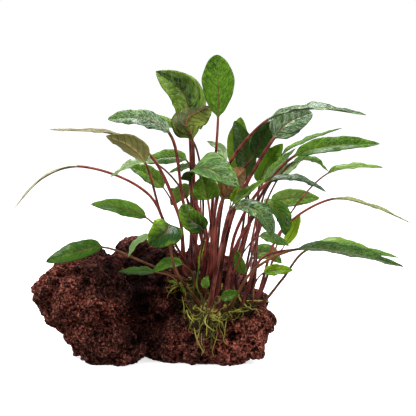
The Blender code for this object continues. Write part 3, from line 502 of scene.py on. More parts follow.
class Value:
    """A socket of a node, with the operators that add Math nodes."""

    def __init__(self, nodes, socket):
        self.nodes = nodes
        self.socket = socket

    def math(self, operation, *values):
        settings = {"operation": operation}
        return self.nodes.node("ShaderNodeMath", settings, dict(enumerate(values)))

    def __add__(self, other):
        return self.math("ADD", self, other)

    def __sub__(self, other):
        return self.math("SUBTRACT", self, other)

    def __rsub__(self, other):
        return self.math("SUBTRACT", other, self)

    def __mul__(self, other):
        return self.math("MULTIPLY", self, other)

    def __abs__(self):
        return self.math("ABSOLUTE", self)

    __radd__ = __add__
    __rmul__ = __mul__

    def fraction(self):
        return self.math("FRACT", self)

    def clamped(self):
        return self.nodes.node("ShaderNodeClamp", {}, {"Value": self})

    def swing(self, reach):
        """What runs from 0 to 1, made to swing to both sides of nothing."""
        return (self - 0.5) * reach

    def step(self, start, end):
        """0 before the start and 1 beyond the end, either way round, softly changed between."""
        (low, first), (high, last) = sorted([(start, 0.0), (end, 1.0)])
        values = {
            "Value": self, "From Min": low, "From Max": high, "To Min": first, "To Max": last,
        }
        return self.nodes.node("ShaderNodeMapRange", {"interpolation_type": "SMOOTHSTEP"}, values)


class Nodes:
    """A node tree, and the one way in which a node is added to it."""

    def __init__(self, tree):
        self.tree = tree

    def node(self, kind, settings, values, output=0):
        made = self.tree.nodes.new(kind)
        for name, value in settings.items():
            setattr(made, name, value)
        for socket, value in values.items():
            self.feed(made.inputs[socket], value)
        return Value(self, made.outputs[output])

    def feed(self, socket, value):
        if isinstance(value, Value):
            self.tree.links.new(value.socket, socket)
        elif socket.type == "RGBA":
            socket.default_value = (*value, 1.0)
        else:
            socket.default_value = value


class Finish(Nodes):
    """A material, built up node by node."""

    def __init__(self, name, **constants):
        self.material = bpy.data.materials.new(name)
        self.material.use_nodes = True
        super().__init__(self.material.node_tree)
        self.give(**constants)

    def give(self, **sockets):
        shader = self.tree.nodes["Principled BSDF"]
        for socket, value in sockets.items():
            self.feed(shader.inputs[socket.replace("_", " ")], value)

    def place(self):
        """The point on the surface, in metres."""
        return self.node("ShaderNodeTexCoord", {}, {}, "Object")

    def attribute(self, name):
        """The three parts of a vector kept on the mesh."""
        vector = self.node("ShaderNodeAttribute", {"attribute_name": name}, {}, "Vector")
        return [self.node("ShaderNodeSeparateXYZ", {}, {0: vector}, axis) for axis in "XYZ"]

    def noise(self, size, vector=None, detail=3.0, roughness=0.55, output=0):
        """Soft noise whose lumps are about so large, in the vector's unit."""
        values = {
            "Vector": vector or self.place(),
            "Scale": 1.0 / size,
            "Detail": detail,
            "Roughness": roughness,
        }
        return self.node("ShaderNodeTexNoise", {}, values, output)

    def cells(self, size, vector=None, feature="F1"):
        values = {"Vector": vector or self.place(), "Scale": 1.0 / size}
        return self.node("ShaderNodeTexVoronoi", {"feature": feature}, values, "Distance")

    def shifted(self, size, reach):
        """The point on the surface, pushed about by soft noise."""
        push = self.noise(size, detail=2.0, roughness=0.5, output="Color")
        values = {0: push, 1: (reach, reach, reach), 2: self.place()}
        return self.node("ShaderNodeVectorMath", {"operation": "MULTIPLY_ADD"}, values)

    def mix(self, factor, a, b):
        return self.node("ShaderNodeMix", {"data_type": "RGBA"}, {0: factor, 6: a, 7: b}, 2)

    def vector(self, x, y, z):
        return self.node("ShaderNodeCombineXYZ", {}, {0: x, 1: y, 2: z})

    def bump(self, height, distance, strength):
        values = {"Height": height, "Distance": distance, "Strength": strength}
        return self.node("ShaderNodeBump", {}, values)


def leaf_finish(name, tone, upper, look):
    """A blade's upper or under side: green in patches, with veins, midrib, margin and painted
    sheen.
    """
    finish = Finish(name, Specular_IOR_Level=0.08, Coat_Roughness=0.16, IOR=1.45)
    along, across, vein = finish.attribute("blade_place")
    light, silver, seed = finish.attribute("blade_look")
    mottled = finish.attribute("blade_kind")[0]
    side = abs(across)
    chance = seed * SEED_SPREAD
    ground = finish.vector(vein * 1.7, across * 3.4, chance)
    patches = finish.noise(0.8, ground)
    mottle = finish.noise(0.3, ground, 2.0)
    streaks = finish.noise(0.4, finish.vector(vein * 3.4, across * 1.8, chance))
    cell_edge = finish.cells(0.5, ground, "DISTANCE_TO_EDGE")
    net = cell_edge.step(0.10, 0.0)
    between = abs(vein.fraction() - 0.5)
    lateral = between.step(0.16, 0.03) * side.step(1.0, 0.8)
    rib = (side * (0.9 + along)).step(0.09, 0.03)
    broad = finish.noise(9 * MM, None, 2.0)
    patchy = (
        patches.swing(4.6) + mottle.swing(4.4) + (cell_edge - 0.2) * 2.2 + streaks.swing(1.6)
    ) * mottled
    banded = (broad.swing(1.8) + (between - 0.25) * 0.5) * (mottled + 0.4)
    shade = (light + patchy + banded).clamped()
    if upper:
        green = finish.mix(shade, tone.deep, tone.light)
        green = finish.mix(net * mottled * 0.5, green, tone.deep)
        # Painted sheen: a silvery painted reflection mixed into the colour
        painted_sheen = (silver * (0.42 + streaks.swing(5.5) + patches.swing(4.0))).clamped()
        green = finish.mix(painted_sheen * (1.0 - net * 0.6) * 0.85, green, look.silver)
        green = finish.mix(lateral * 0.22, green, tone.vein)
        green = finish.mix(rib * along.step(1.0, 0.25) * 0.75, green, look.rib)
        roughness = 0.42 - silver * 0.08 + mottle.swing(0.25) + net * 0.1
        coat = (look.gloss * (0.75 + silver * 1.2 + mottle.swing(2.4))).clamped()
    else:
        green = finish.mix(shade, tone.deep, tone.under)
        # Painted sheen on the underside too
        green = finish.mix(silver * 0.8, green, look.silver)
        for mask in (net * 0.25, lateral * 0.42, rib * 0.9):
            green = finish.mix(mask, green, tone.vein)
        roughness = 0.55 + mottle.swing(0.2)
        coat = (mottle * look.gloss * 0.2).clamped()
    relief = (cell_edge * 1.2).clamped() * 0.6 - lateral * 0.7 + mottle * 0.25
    finish.give(
        Base_Color=finish.mix(side.step(0.955, 0.99) * 0.6, green, look.margin),
        Roughness=roughness.clamped(),
        Coat_Weight=coat,
        Normal=finish.bump(relief, 0.7 * MM, 0.7),
    )
    return finish.material


def stalk_finish(name, deep, light):
    """A stalk: fleshy and shiny, streaked along its length, with painted shade towards its foot."""
    finish = Finish(name, Specular_IOR_Level=0.2, Coat_Weight=0.06, Coat_Roughness=0.2, IOR=1.45)
    along, across, streak = finish.attribute("blade_place")
    stem, _, seed = finish.attribute("blade_look")
    ground = finish.vector(across * 3.0, streak * 0.06, seed * SEED_SPREAD)
    streaks = finish.noise(0.6, ground)
    blotches = finish.noise(9 * MM)
    red = finish.mix((streaks.swing(3.2) + blotches.swing(2.4) + stem).clamped(), deep, light)
    red = finish.mix(along.step(-0.12, 0.0) * 0.3, red, STALK_NECK)
    # Painted shade towards the foot, where the stalks crowd together
    red = finish.mix(along.step(-0.35, -0.95) * 0.4, red, tuple(0.6 * c for c in deep))
    finish.give(
        Base_Color=red,
        Roughness=(0.36 + streaks.swing(0.3)).clamped(),
        Normal=finish.bump(streaks, 0.3 * MM, 0.6),
    )
    return finish.material


def stone_finish(look):
    """Lava stone: painted black shade in its pores, dusty ridges with painted highlights between
    them, rust in patches.
    """
    finish = Finish("lava_stone", Specular_IOR_Level=0.08)
    painted_hollow_shade, ridge, painted_light_tone = finish.attribute("stone_form")
    broad = finish.noise(30 * MM, None, 4.0)
    patch = finish.noise(7 * MM, None, 4.0, 0.65)
    speck = finish.noise(1.6 * MM, None, 3.0, 0.75)
    ground = finish.shifted(2.6 * MM, 4.0 * MM)
    pore = finish.noise(1.5 * MM, finish.shifted(9 * MM, 6 * MM), 2.0).step(0.47, 0.38)
    crevice = finish.noise(5.5 * MM, ground, 4.0, 0.6).step(0.49, 0.40)
    large = finish.cells(4.2 * MM, ground).step(0.44, 0.20) * finish.noise(6 * MM).step(0.42, 0.56)
    small = finish.cells(2.2 * MM, ground).step(0.48, 0.24)
    small = small * finish.noise(3.3 * MM).step(0.40, 0.56)
    holes = (large + small).clamped()
    crumb = finish.cells(1.7 * MM, ground).step(0.80, 0.30)
    # Rust in patches, made lighter with painted light where the regions are lit
    rust_and_painted_light = (broad.swing(2.4) + patch.swing(1.6) + painted_light_tone * 0.6 + 0.3).clamped()
    # Partly wear and dust on the ridges, partly painted highlights on the grains and ridges
    wear_and_highlight = (ridge * 0.5 + speck.swing(4.2) + painted_light_tone * 0.55 - 0.05).clamped() * crumb
    # Painted shade: black in the hollows, pits, pores and crevices
    dark = painted_hollow_shade + holes * 0.9 + pore * 0.7 + crevice * 0.55
    body = finish.mix(rust_and_painted_light, look.body, look.rust)
    for mask, shade in (
        (((patch - 0.46) * 4.5).clamped() * 0.7, look.deep),
        (wear_and_highlight * 0.85, look.wear_and_highlight),
        # Painted shade in the cracks between the grains
        ((1.0 - crumb) * 0.62, look.deep),
        # Painted shade where the regions are dark
        ((painted_light_tone * -0.6).clamped(), look.deep),
        (dark.clamped() * 0.95, look.deep),
    ):
        body = finish.mix(mask, body, shade)
    finish.give(
        Base_Color=body,
        Roughness=(0.8 + speck.swing(0.4)).clamped(),
        Normal=finish.bump(1.0 - holes + speck + crumb * 0.9, 1.2 * MM, 1.0),
    )
    return finish.material


def root_finish(look):
    """Root fibres: each its own shade between yellow-green and dark olive-brown, by age and by
    painted light and shade.
    """
    finish = Finish("roots", Specular_IOR_Level=0.4)
    fresh_and_lit = finish.attribute("fibre")[0]
    blotch = finish.noise(2.5 * MM)
    finish.give(
        Base_Color=finish.mix((fresh_and_lit + blotch.swing(0.5)).clamped(), look.old, look.young),
        Roughness=(0.5 + blotch.swing(0.4)).clamped(),
        Normal=finish.bump(blotch, 0.2 * MM, 0.5),
    )
    return finish.material


def crown_finish():
    """A crown: brown leaf scars and sheaths, greener where young tissue shows."""
    finish = Finish("crown", Specular_IOR_Level=0.3)
    blotch = finish.noise(3 * MM, None, 4.0)
    scale = finish.cells(2.5 * MM)
    brown = finish.mix(blotch.step(0.35, 0.65), (0.012, 0.006, 0.003), (0.06, 0.03, 0.012))
    finish.give(
        Base_Color=finish.mix(scale.step(0.2, 0.7) * 0.5, brown, (0.04, 0.036, 0.008)),
        Roughness=(0.6 + blotch.swing(0.4)).clamped(),
        Normal=finish.bump(scale, 0.6 * MM, 0.8),
    )
    return finish.material


# Meshes


def added(name, data):
    made = bpy.data.objects.new(name, data)
    bpy.context.scene.collection.objects.link(made)
    return made


def mesh_object(name, places, faces, materials, face_materials=None, **vectors):
    """A smooth-shaded object from places in metres, with vectors on its points for its looks."""
    mesh = bpy.data.meshes.new(name)
    mesh.from_pydata(places.tolist(), [], faces)
    for finish in materials:
        mesh.materials.append(finish)
    if face_materials is not None:
        mesh.polygons.foreach_set("material_index", np.asarray(face_materials, np.int32))
    for key, values in vectors.items():
        layer = mesh.attributes.new(key, "FLOAT_VECTOR", "POINT")
        layer.data.foreach_set("vector", np.asarray(values, np.float32).ravel())
    mesh.shade_smooth()
    mesh.update()
    return added(name, mesh)


def ring_faces(rows, count):
    """The four-sided faces between closed rings, row after row."""
    return [
        (a, b, b + count, a + count)
        for row in range(rows - 1)
        for a, b in ((row * count + k, row * count + (k + 1) % count) for k in range(count))
    ]


def put_in_frame(piece, node=None):
    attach(piece, "root")
    if node:
        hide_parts(node)


def refined_copy(node, cell, smoothing):
    """Places in millimetres, normals and faces of a CAD node in fine cells, its facets rounded."""
    copy = added("Refined", NODES[node].data.copy())
    copy.modifiers.new("Weld", "WELD").merge_threshold = 0.01 * MM
    remesh = copy.modifiers.new("Fine cells", "REMESH")
    remesh.mode = "VOXEL"
    remesh.voxel_size = cell
    smooth = copy.modifiers.new("Round the facets", "SMOOTH")
    smooth.factor = 0.5
    smooth.iterations = smoothing
    bpy.context.view_layer.update()
    graph = bpy.context.evaluated_depsgraph_get()
    mesh = bpy.data.meshes.new_from_object(copy.evaluated_get(graph))
    bpy.data.objects.remove(copy)
    places, normals = np.zeros((2, len(mesh.vertices) * 3))
    mesh.vertices.foreach_get("co", places)
    mesh.vertex_normals.foreach_get("vector", normals)
    faces = [tuple(face.vertices) for face in mesh.polygons]
    bpy.data.meshes.remove(mesh)
    return places.reshape(-1, 3) / MM, normals.reshape(-1, 3), faces


def smoothstep(x, low, high):
    x = np.clip((x - low) / (high - low), 0.0, 1.0)
    return x * x * (3.0 - 2.0 * x)


def pit_depths(places):
    """How deep each place lies in round pits: one pit of its own size in each Voronoi cell."""
    depths = np.zeros(len(places))
    for i, place in enumerate(places):
        distances, centres = noise.voronoi(Vector(place) / PIT_CELL + PIT_SHIFT)
        for distance, centre in zip(distances[:2], centres):
            chance = noise.cell(centre * 7.31)
            own = PIT_RADIUS * (0.35 + 0.65 * chance) / PIT_CELL
            if distance < own:
                bowl = math.sqrt(1.0 - (distance / own) ** 2)
                depths[i] = max(depths[i], PIT_DEPTH * bowl * (0.4 + 0.6 * chance))
    return depths


def foam_depths(places, cell, seed):
    """How deep each place lies in a foam of cells: nothing on ridges, most in cells' middles."""
    depths = np.zeros(len(places))
    shift = Vector([seed * part for part in FOAM_SHIFT])
    for i, place in enumerate(places):
        distances, centres = noise.voronoi(Vector(place) / cell + shift)
        chance = noise.cell(centres[0] * 5.77)
        depths[i] = min(1.0, (distances[1] - distances[0]) / 0.45) * (0.15 + 0.85 * chance)
    return depths


def make_stone_mesh(look):
    """The lava stone: the CAD form with hollows, pits and a foam of small cells sunk into it."""
    mm, normals, faces = refined_copy("lava_stone", look.grain, STONE_SMOOTHING)
    # Without a seed, Blender takes this push from the clock
    noise.seed_set(STONE_SEED)
    push = np.array([noise.noise_vector(Vector(place) / WARP_SIZE) for place in mm])
    warped = mm + WARP_REACH * push
    sunk = pit_depths(warped) * look.pit_depth
    foam = np.zeros(len(mm))
    for seed, cell in enumerate(FOAM_CELLS, FIRST_FOAM_SEED):
        foam += foam_depths(warped, cell, seed) * look.pit_depth
    nearness = 1.0 + warped[:, 1] / EYE_DISTANCE
    across, up = warped[:, 0] / nearness, EYE_HEIGHT + (warped[:, 2] - EYE_HEIGHT) / nearness
    facing = smoothstep(-normals[:, 1], -0.1, 0.4)
    for x, z, radius, depth in HOLLOWS:
        nearby = 1.0 - smoothstep(np.hypot(across - x, up - z) / radius, 0.45, 1.0)
        sunk += depth * facing * nearby
    # Painted light and shade by region of the front view, on the sides that face it
    painted_light_tone = np.zeros(len(mm))
    for x, z, reach, tone in PAINTED_LIGHT_REGIONS:
        painted_light_tone += tone * facing * np.exp(-((across - x) ** 2 + (up - z) ** 2) / reach**2)
    lumps = np.array([noise.fractal(Vector(place) / LUMP_SIZE, 0.6, 2.1, 4) for place in mm])
    moved = mm + normals * (LUMP_HEIGHT * lumps - sunk - foam + SWELLING)[:, None]
    moved[:, 2] = np.maximum(moved[:, 2], 0.0)
    # Painted shade, darkest where the stone is sunk deepest into hollows, pits and foam
    painted_hollow_shade = np.clip(sunk / 1.8 + (foam - 0.7) / 0.9, 0.0, 1.0)
    ridge = np.clip(1.0 - foam / 1.1 + 0.4 * lumps - sunk, 0.0, 1.0)
    form = np.stack([painted_hollow_shade, ridge, painted_light_tone], axis=1)
    finishes = [stone_finish(look)]
    return mesh_object("lava_stone_pitted", moved * MM, faces, finishes, stone_form=form)


def make_crown_mesh(name, finish):
    """A crown: the CAD form with ridges like leaf scars and small lumps."""
    mm, normals, faces = refined_copy("crown_" + name, CROWN_CELL, CROWN_SMOOTHING)
    centre = CROWNS[name].centre
    turn = np.arctan2(mm[:, 1] - centre[1], mm[:, 0] - centre[0])
    ridges = SCAR_HEIGHT * np.abs(np.sin(turn * CROWN_SCARS + mm[:, 2] * 0.25))
    lumps = np.array([noise.noise(Vector(place) / 2.5) for place in mm])
    moved = mm + normals * (ridges + 0.5 * lumps - 0.3)[:, None]
    return mesh_object(f"crown_{name}_fine", moved * MM, faces, [finish])


# Leaves


def drawn(across, up, depth):
    """A point of the front view, put at its depth along the line of sight."""
    nearness = 1.0 + depth / EYE_DISTANCE
    return np.array((across * nearness, depth, EYE_HEIGHT + (up - EYE_HEIGHT) * nearness))


def unit(vector):
    return vector / np.linalg.norm(vector)


def heading_out(leaf):
    """The way from the middle of a leaf's crown to its knee."""
    return unit(drawn(*leaf.knee) - np.array(CROWNS[leaf.crown].centre))


def crown_seats(crown, count):
    """Directions of the leaves' feet on a crown, in a golden-angle spiral from its top outwards."""
    turn = Vector((0, 0, 1)).rotation_difference(Vector(crown.lean))
    seats = []
    for k in range(count):
        rise = 1.0 - (1.0 - math.cos(CROWN_SPREAD)) * (k + 0.5) / count
        reach = math.sqrt(1.0 - rise * rise)
        angle = k * GOLDEN_ANGLE
        seat = Vector((reach * math.cos(angle), reach * math.sin(angle), rise))
        seats.append(np.array(turn @ seat))
    return seats


def seated_leaves():
    """Each leaf's foot direction: leaves swap seats until each has the one that suits its knee."""
    feet = {}
    for name, crown in CROWNS.items():
        leaves = [leaf for leaf in LEAVES if leaf.crown == name]
        wanted = [heading_out(leaf) for leaf in leaves]
        seats = crown_seats(crown, len(leaves))
        settled = False
        while not settled:
            settled = True
            for i, j in combinations(range(len(leaves)), 2):
                if np.dot(wanted[i] - wanted[j], seats[j] - seats[i]) > 1e-9:
                    seats[i], seats[j] = seats[j], seats[i]
                    settled = False
        feet.update({leaf.name: seat for leaf, seat in zip(leaves, seats)})
    return feet


def between(t, a, b, start, end):
    """The point at t on a straight run from a at the start to b at the end."""
    return (a * (end - t) + b * (t - start)) / (end - start)


def smooth_curve(points, steps):
    """Points along a centripetal Catmull-Rom curve through the given ones."""
    points = [2 * points[0] - points[1], *points, 2 * points[-1] - points[-2]]
    knots = [0.0]
    for a, b in zip(points, points[1:]):
        knots.append(knots[-1] + math.sqrt(np.linalg.norm(b - a)))
    line = []
    for i in range(1, len(points) - 2):
        p0, p1, p2, p3 = points[i - 1 : i + 3]
        t0, t1, t2, t3 = knots[i - 1 : i + 3]
        for t in np.linspace(t1, t2, steps, endpoint=False):
            a1, a2 = between(t, p0, p1, t0, t1), between(t, p1, p2, t1, t2)
            a3 = between(t, p2, p3, t2, t3)
            b1, b2 = between(t, a1, a2, t0, t2), between(t, a2, a3, t1, t3)
            line.append(between(t, b1, b2, t1, t2))
    line.append(points[-2])
    return np.array(line)


def leaf_curve(leaf, seat):
    """The line of a leaf from foot to tip, and the index of its neck and belly."""
    centre = np.array(CROWNS[leaf.crown].centre, float)
    foot = centre + seat * (CROWN_RADIUS + FOOT_GAP)
    above = centre + seat * (CROWN_RADIUS + FOOT_STRAIGHT)
    marks = [foot, above, *(drawn(*mark) for mark in (leaf.knee, leaf.neck, leaf.belly, leaf.tip))]
    return smooth_curve(marks, CURVE_STEPS), 3 * CURVE_STEPS, 4 * CURVE_STEPS


def transported_frames(line, start, face):
    """Tangents and upper-side normals of a line, turned as little as possible from the start's."""
    tangents = np.gradient(line, axis=0)
    tangents /= np.linalg.norm(tangents, axis=1)[:, None]
    normals = np.zeros_like(line)
    face = np.array(face, float)
    normals[start] = unit(face - tangents[start] * np.dot(face, tangents[start]))
    for way, stop in ((1, len(line)), (-1, -1)):
        for i in range(start + way, stop, way):
            carried = normals[i - way]
            normals[i] = unit(carried - tangents[i] * np.dot(carried, tangents[i]))
    return tangents, normals


def blade_widths(leaf, along):
    """Half the blade's width at each share of its length."""
    lean = math.log(0.5) / math.log(leaf.widest)
    shape = np.maximum(np.sin(np.pi * np.clip(along, 1e-6, 1.0) ** lean), 0.0) ** leaf.outline
    return np.maximum(TIP_HALF_WIDTH, leaf.width / 2 * shape)


def blade_section(leaf, along, column, mm_along, chance):
    """Where a blade's section lies, across and over its midrib, with its vein count.

    The arrays run over rows and ring places. The ring goes over the upper side from the right
    margin to the left and back below.
    """
    touch = leaf.touch
    right = column > 0
    uneven = np.array(
        [[noise.noise(Vector((a * 5.0, s, chance[0] * 50))) for s in (-1, 1)] for a in along]
    )
    widths = blade_widths(leaf, along)[:, None]
    widths = widths * (1.0 + WIDTH_WOBBLE * np.where(right, uneven[:, 1:], uneven[:, :1]))
    share = np.abs(column)
    reach = share * widths
    fold = math.radians(leaf.fold)
    vein = mm_along[:, None] - VEIN_SLANT * reach - VEIN_CURVE * reach**2 / leaf.width
    vein = vein / (VEIN_SPACING_SHARE * leaf.width)
    body = np.sin(np.pi * np.clip(along, 0, 1))[:, None] ** 0.5
    rise = reach * math.sin(fold) * (1.0 + HALF_BULGE * (1.0 - share))
    groove = -RIB_GROOVE * np.exp(-((reach / RIB_GROOVE_REACH) ** 2))
    quilts = -np.cos(2 * np.pi * (vein - 0.5)) * (1.0 - share**3) * smoothstep(share, 0.04, 0.3)
    pucker = np.array(
        [
            [noise.noise(Vector((v * 1.7, c * 2.5, chance[1] * 50))) for v, c in zip(row, column)]
            for row in vein
        ]
    )
    relief = touch.quilt * body * (0.55 * quilts + 0.9 * pucker * smoothstep(share, 0.0, 0.25))
    phase = np.where(right, chance[2], chance[3]) * 2 * np.pi
    ripple = np.sin(2 * np.pi * MARGIN_WAVES * along[:, None] + phase)
    ripple += 0.5 * np.sin(2 * np.pi * MARGIN_WAVES * 2.3 * along[:, None] + phase * 1.7)
    wave = touch.wave * body * share**2.2 * ripple
    return reach * np.sign(column) * math.cos(fold), rise + groove + relief + wave, vein


def leaf_frames(leaf, seat, along):
    """Middle, side and upper side of a leaf's rows, and their millimetres from its foot."""
    line, neck, belly = leaf_curve(leaf, seat)
    line[0] -= seat * FOOT_DEPTH
    tangents, normals = transported_frames(line, belly, leaf.face)
    steps = np.linalg.norm(np.diff(line, axis=0), axis=1)
    lengths = np.concatenate([[0.0], np.cumsum(steps)])
    stalk_length, blade_length = lengths[neck], lengths[-1] - lengths[neck]
    wanted = np.where(along < 0, (along + 1.0) * stalk_length, stalk_length + along * blade_length)
    middle, forward, over = (
        np.stack([np.interp(wanted, lengths, values[:, k]) for k in range(3)], axis=1)
        for values in (line, tangents, normals)
    )
    squared = np.sum(forward * forward, axis=1)[:, None]
    over -= forward * np.sum(over * forward, axis=1)[:, None] / squared
    over /= np.linalg.norm(over, axis=1)[:, None]
    forward /= np.linalg.norm(forward, axis=1)[:, None]
    aside = np.cross(forward, over)
    turn = np.radians(leaf.touch.twist) * np.clip(along, 0.0, 1.0)
    cosine, sine = np.cos(turn)[:, None], np.sin(turn)[:, None]
    over, aside = over * cosine - aside * sine, aside * cosine + over * sine
    return middle, aside, over, wanted, blade_length


def leaf_skin(leaf, seat, chance):
    """A leaf's places in millimetres, closed rings from foot to tip, with what its looks need."""
    touch = leaf.touch
    even = np.linspace(0.0, 1.0, BLADE_ROWS)
    blade_rows = 0.5 * even + 0.5 * (0.5 - 0.5 * np.cos(np.pi * even))
    stalk_rows = np.linspace(0.0, 1.0, STALK_ROWS, endpoint=False) - 1.0
    along = np.concatenate([stalk_rows, blade_rows])
    in_stalk = along[:, None] < 0
    middle, aside, over, wanted, blade_length = leaf_frames(leaf, seat, along)

    steps = np.arange(RING)
    below = steps > COLUMNS
    linear = np.where(below, -3.0 + 2.0 * steps / COLUMNS, 1.0 - 2.0 * steps / COLUMNS)
    column = np.sign(linear) * np.abs(linear) ** COLUMN_CROWDING
    at_margin = (steps == 0) | (steps == COLUMNS)

    share = along + 1.0
    taper = 1.0 - (1.0 - NECK_SHARE) * np.clip(share, 0.0, 1.0)
    flare = 1.0 + (FOOT_FLARE - 1.0) * np.clip(1.0 - 4.0 * share, 0.0, 1.0)
    stalk = leaf.stalk / 2 * touch.thick * taper * flare
    radius = np.where(along < 0, stalk, stalk * np.clip(1.0 - along, 0.0, 1.0) ** 0.8)
    wobble = np.array([noise.noise(Vector((s * 6.0, chance[0] * 30, 0))) for s in share])
    radius = (radius * (1.0 + STALK_WOBBLE * wobble))[:, None]
    angle = 2 * np.pi * steps / RING

    across, height, vein = blade_section(leaf, along, column, along * blade_length, chance)
    inside = np.clip(1.0 - (np.abs(across) / np.maximum(radius, 0.3)) ** 2, 0.0, 1.0)
    thickness = np.where(at_margin, 0.0, MARGIN_THICKNESS)
    height = height + np.where(below, -thickness - radius * np.sqrt(inside), thickness)
    opened = smoothstep(along, -0.02, OPENING_SHARE)[:, None]
    across = radius * np.cos(angle) * (1 - opened) + across * opened
    height = radius * np.sin(angle) * (1 - opened) + height * opened
    places = middle[:, None] + aside[:, None] * across[..., None]
    places = places + over[:, None] * height[..., None]

    half = smoothstep(column, -0.15, 0.15)
    onward = np.clip(along, 0.0, 1.0)[:, None] ** 2
    # Painted light and shade: each half lighter or darker as it is lit or shaded, with painted
    # light on the margins and towards the tip
    light = touch.light[0] * (1 - half) + touch.light[1] * half + touch.rim * (column**2 - 0.25)
    light = np.where(in_stalk, touch.stem, light + touch.tip[0] * onward)
    # The silver, a painted sheen, for each half and towards the tip
    silver = touch.silver[0] * (1 - half) + touch.silver[1] * half + touch.tip[1] * onward
    parts = {
        "blade_place": (
            along[:, None],
            np.where(in_stalk, np.cos(angle), column),
            np.where(in_stalk, wanted[:, None], vein),
        ),
        "blade_look": (light, silver, chance[4]),
        "blade_kind": (touch.mottled, 0.0, 0.0),
    }
    rings = (len(along), RING)
    marks = {
        key: np.stack([np.broadcast_to(part, rings) for part in values], axis=2)
        for key, values in parts.items()
    }
    return places, marks, along


def with_ends(rings, centred=True):
    """The rings' vectors in one list, with one more for each end: the end ring's mean or first."""
    ends = [ring.mean(axis=0) if centred else ring[0] for ring in (rings[0], rings[-1])]
    return np.concatenate([rings.reshape(-1, 3), ends])


def make_leaf_mesh(leaf, seat, chance, finishes):
    """One leaf as a closed skin, its stalk, upper side and underside in their own materials."""
    places, marks, along = leaf_skin(leaf, seat, chance)
    rows = len(along)
    foot, tip = rows * RING, rows * RING + 1
    faces = ring_faces(rows, RING)
    sides = [1] * COLUMNS + [2] * COLUMNS
    shades = [0 if share < 0 else side for share in along[:-1] for side in sides]
    for k in range(RING):
        after = (k + 1) % RING
        faces.append((foot, after, k))
        faces.append((tip, (rows - 1) * RING + k, (rows - 1) * RING + after))
        shades.extend((0, 1))

    vectors = {key: with_ends(rings, key == "blade_place") for key, rings in marks.items()}
    name = f"leaf_{leaf.name}_fine"
    return mesh_object(name, with_ends(places) * MM, faces, finishes, shades, **vectors)


# Roots


def tube(places, radii, sides):
    """A thin tube along places, closed with a flat face at both ends."""
    tangents, normals = transported_frames(places, 0, (0.31, 0.87, 0.39))
    binormals = np.cross(tangents, normals)
    angle = 2 * np.pi * np.arange(sides) / sides
    rings = places[:, None] + radii[:, None, None] * (
        normals[:, None] * np.cos(angle)[:, None] + binormals[:, None] * np.sin(angle)[:, None]
    )
    faces = ring_faces(len(places), sides)
    last = (len(places) - 1) * sides
    faces.append(tuple(range(sides))[::-1])
    faces.append(tuple(range(last, last + sides)))
    return rings.reshape(-1, 3), faces


def search_tree(objects):
    """A search tree over the objects' faces, in metres."""
    places, faces = [], []
    for obj in objects:
        start = len(places)
        places.extend(vertex.co.copy() for vertex in obj.data.vertices)
        faces.extend([start + v for v in face.vertices] for face in obj.data.polygons)
    return BVHTree.FromPolygons(places, faces)


def sight(tree, across, up):
    """How far off the eye sees the tree's surface at a point of the front view, in millimetres."""
    eye = Vector((0, -EYE_DISTANCE, EYE_HEIGHT)) * MM
    hit = tree.ray_cast(eye, (Vector((across, 0, up)) * MM - eye).normalized())
    return hit[3] / MM if hit[0] is not None else None


def windows(values, reach):
    """The values shifted by up to the reach both ways, with their ends held."""
    padded = np.pad(values, reach, mode="edge")
    return [padded[k : k + len(values)] for k in range(2 * reach + 1)]


def laid_path(view_path, ground, mat, depth_share, lift):
    """A root's places: a path of the front view, laid between the mat's front and the ground."""
    found = []
    for across, up in view_path:
        back = sight(ground, across, up)
        front = sight(mat, across, up)
        if back is None:
            if not found:
                continue
            back = found[-1][2]
        if front is None or front > back:
            found.append((across, up, back - lift))
        else:
            found.append((across, up, front + (back - front) * depth_share - lift))
    if len(found) < 4:
        return None
    found = np.array(found)
    distance = np.mean(windows(np.min(windows(found[:, 2], 2), axis=0), 3), axis=0)
    eye = np.array((0.0, -EYE_DISTANCE, EYE_HEIGHT))
    ways = np.stack([found[:, 0], np.zeros(len(found)), found[:, 1]], axis=1) - eye
    ways /= np.linalg.norm(ways, axis=1)[:, None]
    return eye + ways * distance[:, None]


def wandering(start, heading, reach, bend, chance):
    """A root's path in the front view: it wanders about its heading and curls."""
    place, angle = np.array(start, float), heading
    curl = chance.normal(0.0, bend)
    path = [place]
    for _ in range(max(8, int(reach / ROOT_STRIDE))):
        curl = 0.86 * curl + chance.normal(0.0, bend)
        angle += curl
        angle += 0.03 * math.sin(heading - angle)
        place = place + ROOT_STRIDE * np.array((math.cos(angle), math.sin(angle)))
        path.append(place)
    return path


def root_paths(look, ground, mat):
    """Each root's places, radius in millimetres and lightness, partly painted light and shade:
    first the single ones.
    """
    chance = np.random.default_rng(ROOT_SEED)
    for marks, radius in SINGLE_ROOTS:
        view_path = smooth_curve([np.array(mark, float) for mark in marks], SINGLE_ROOT_STEPS)
        fresh_and_lit = 0.45 + 0.5 * min(1.0, marks[-1][1] / 25)
        yield laid_path(view_path, ground, mat, 0.0, SINGLE_ROOT_LIFT), radius, fresh_and_lit
    for group in ROOT_GROUPS:
        for _ in range(int(group.share * look.fibres)):
            start = chance.uniform(group.low, group.high)
            heading = math.radians(group.heading + chance.uniform(-group.spread, group.spread))
            reach = chance.uniform(*group.reach)
            view_path = wandering(start, heading, reach, group.bend, chance)
            depth, lift = chance.uniform(0.0, 0.9), chance.uniform(0.2, 0.9)
            radius = (look.thinnest + (look.thickest - look.thinnest) * chance.uniform() ** 2) / MM
            # Painted light and shade: the roots that catch the light are light, the rest nearly
            # black, and deeper ones darker
            if chance.uniform() < BRIGHT_SHARE:
                radius *= BRIGHT_THICKNESS
                fresh_and_lit = chance.uniform(0.6, 1.1) * (1.0 - 0.4 * depth)
            else:
                radius *= DULL_THICKNESS
                fresh_and_lit = chance.uniform(0.0, 0.2)
            yield laid_path(view_path, ground, mat, depth, lift), radius, fresh_and_lit


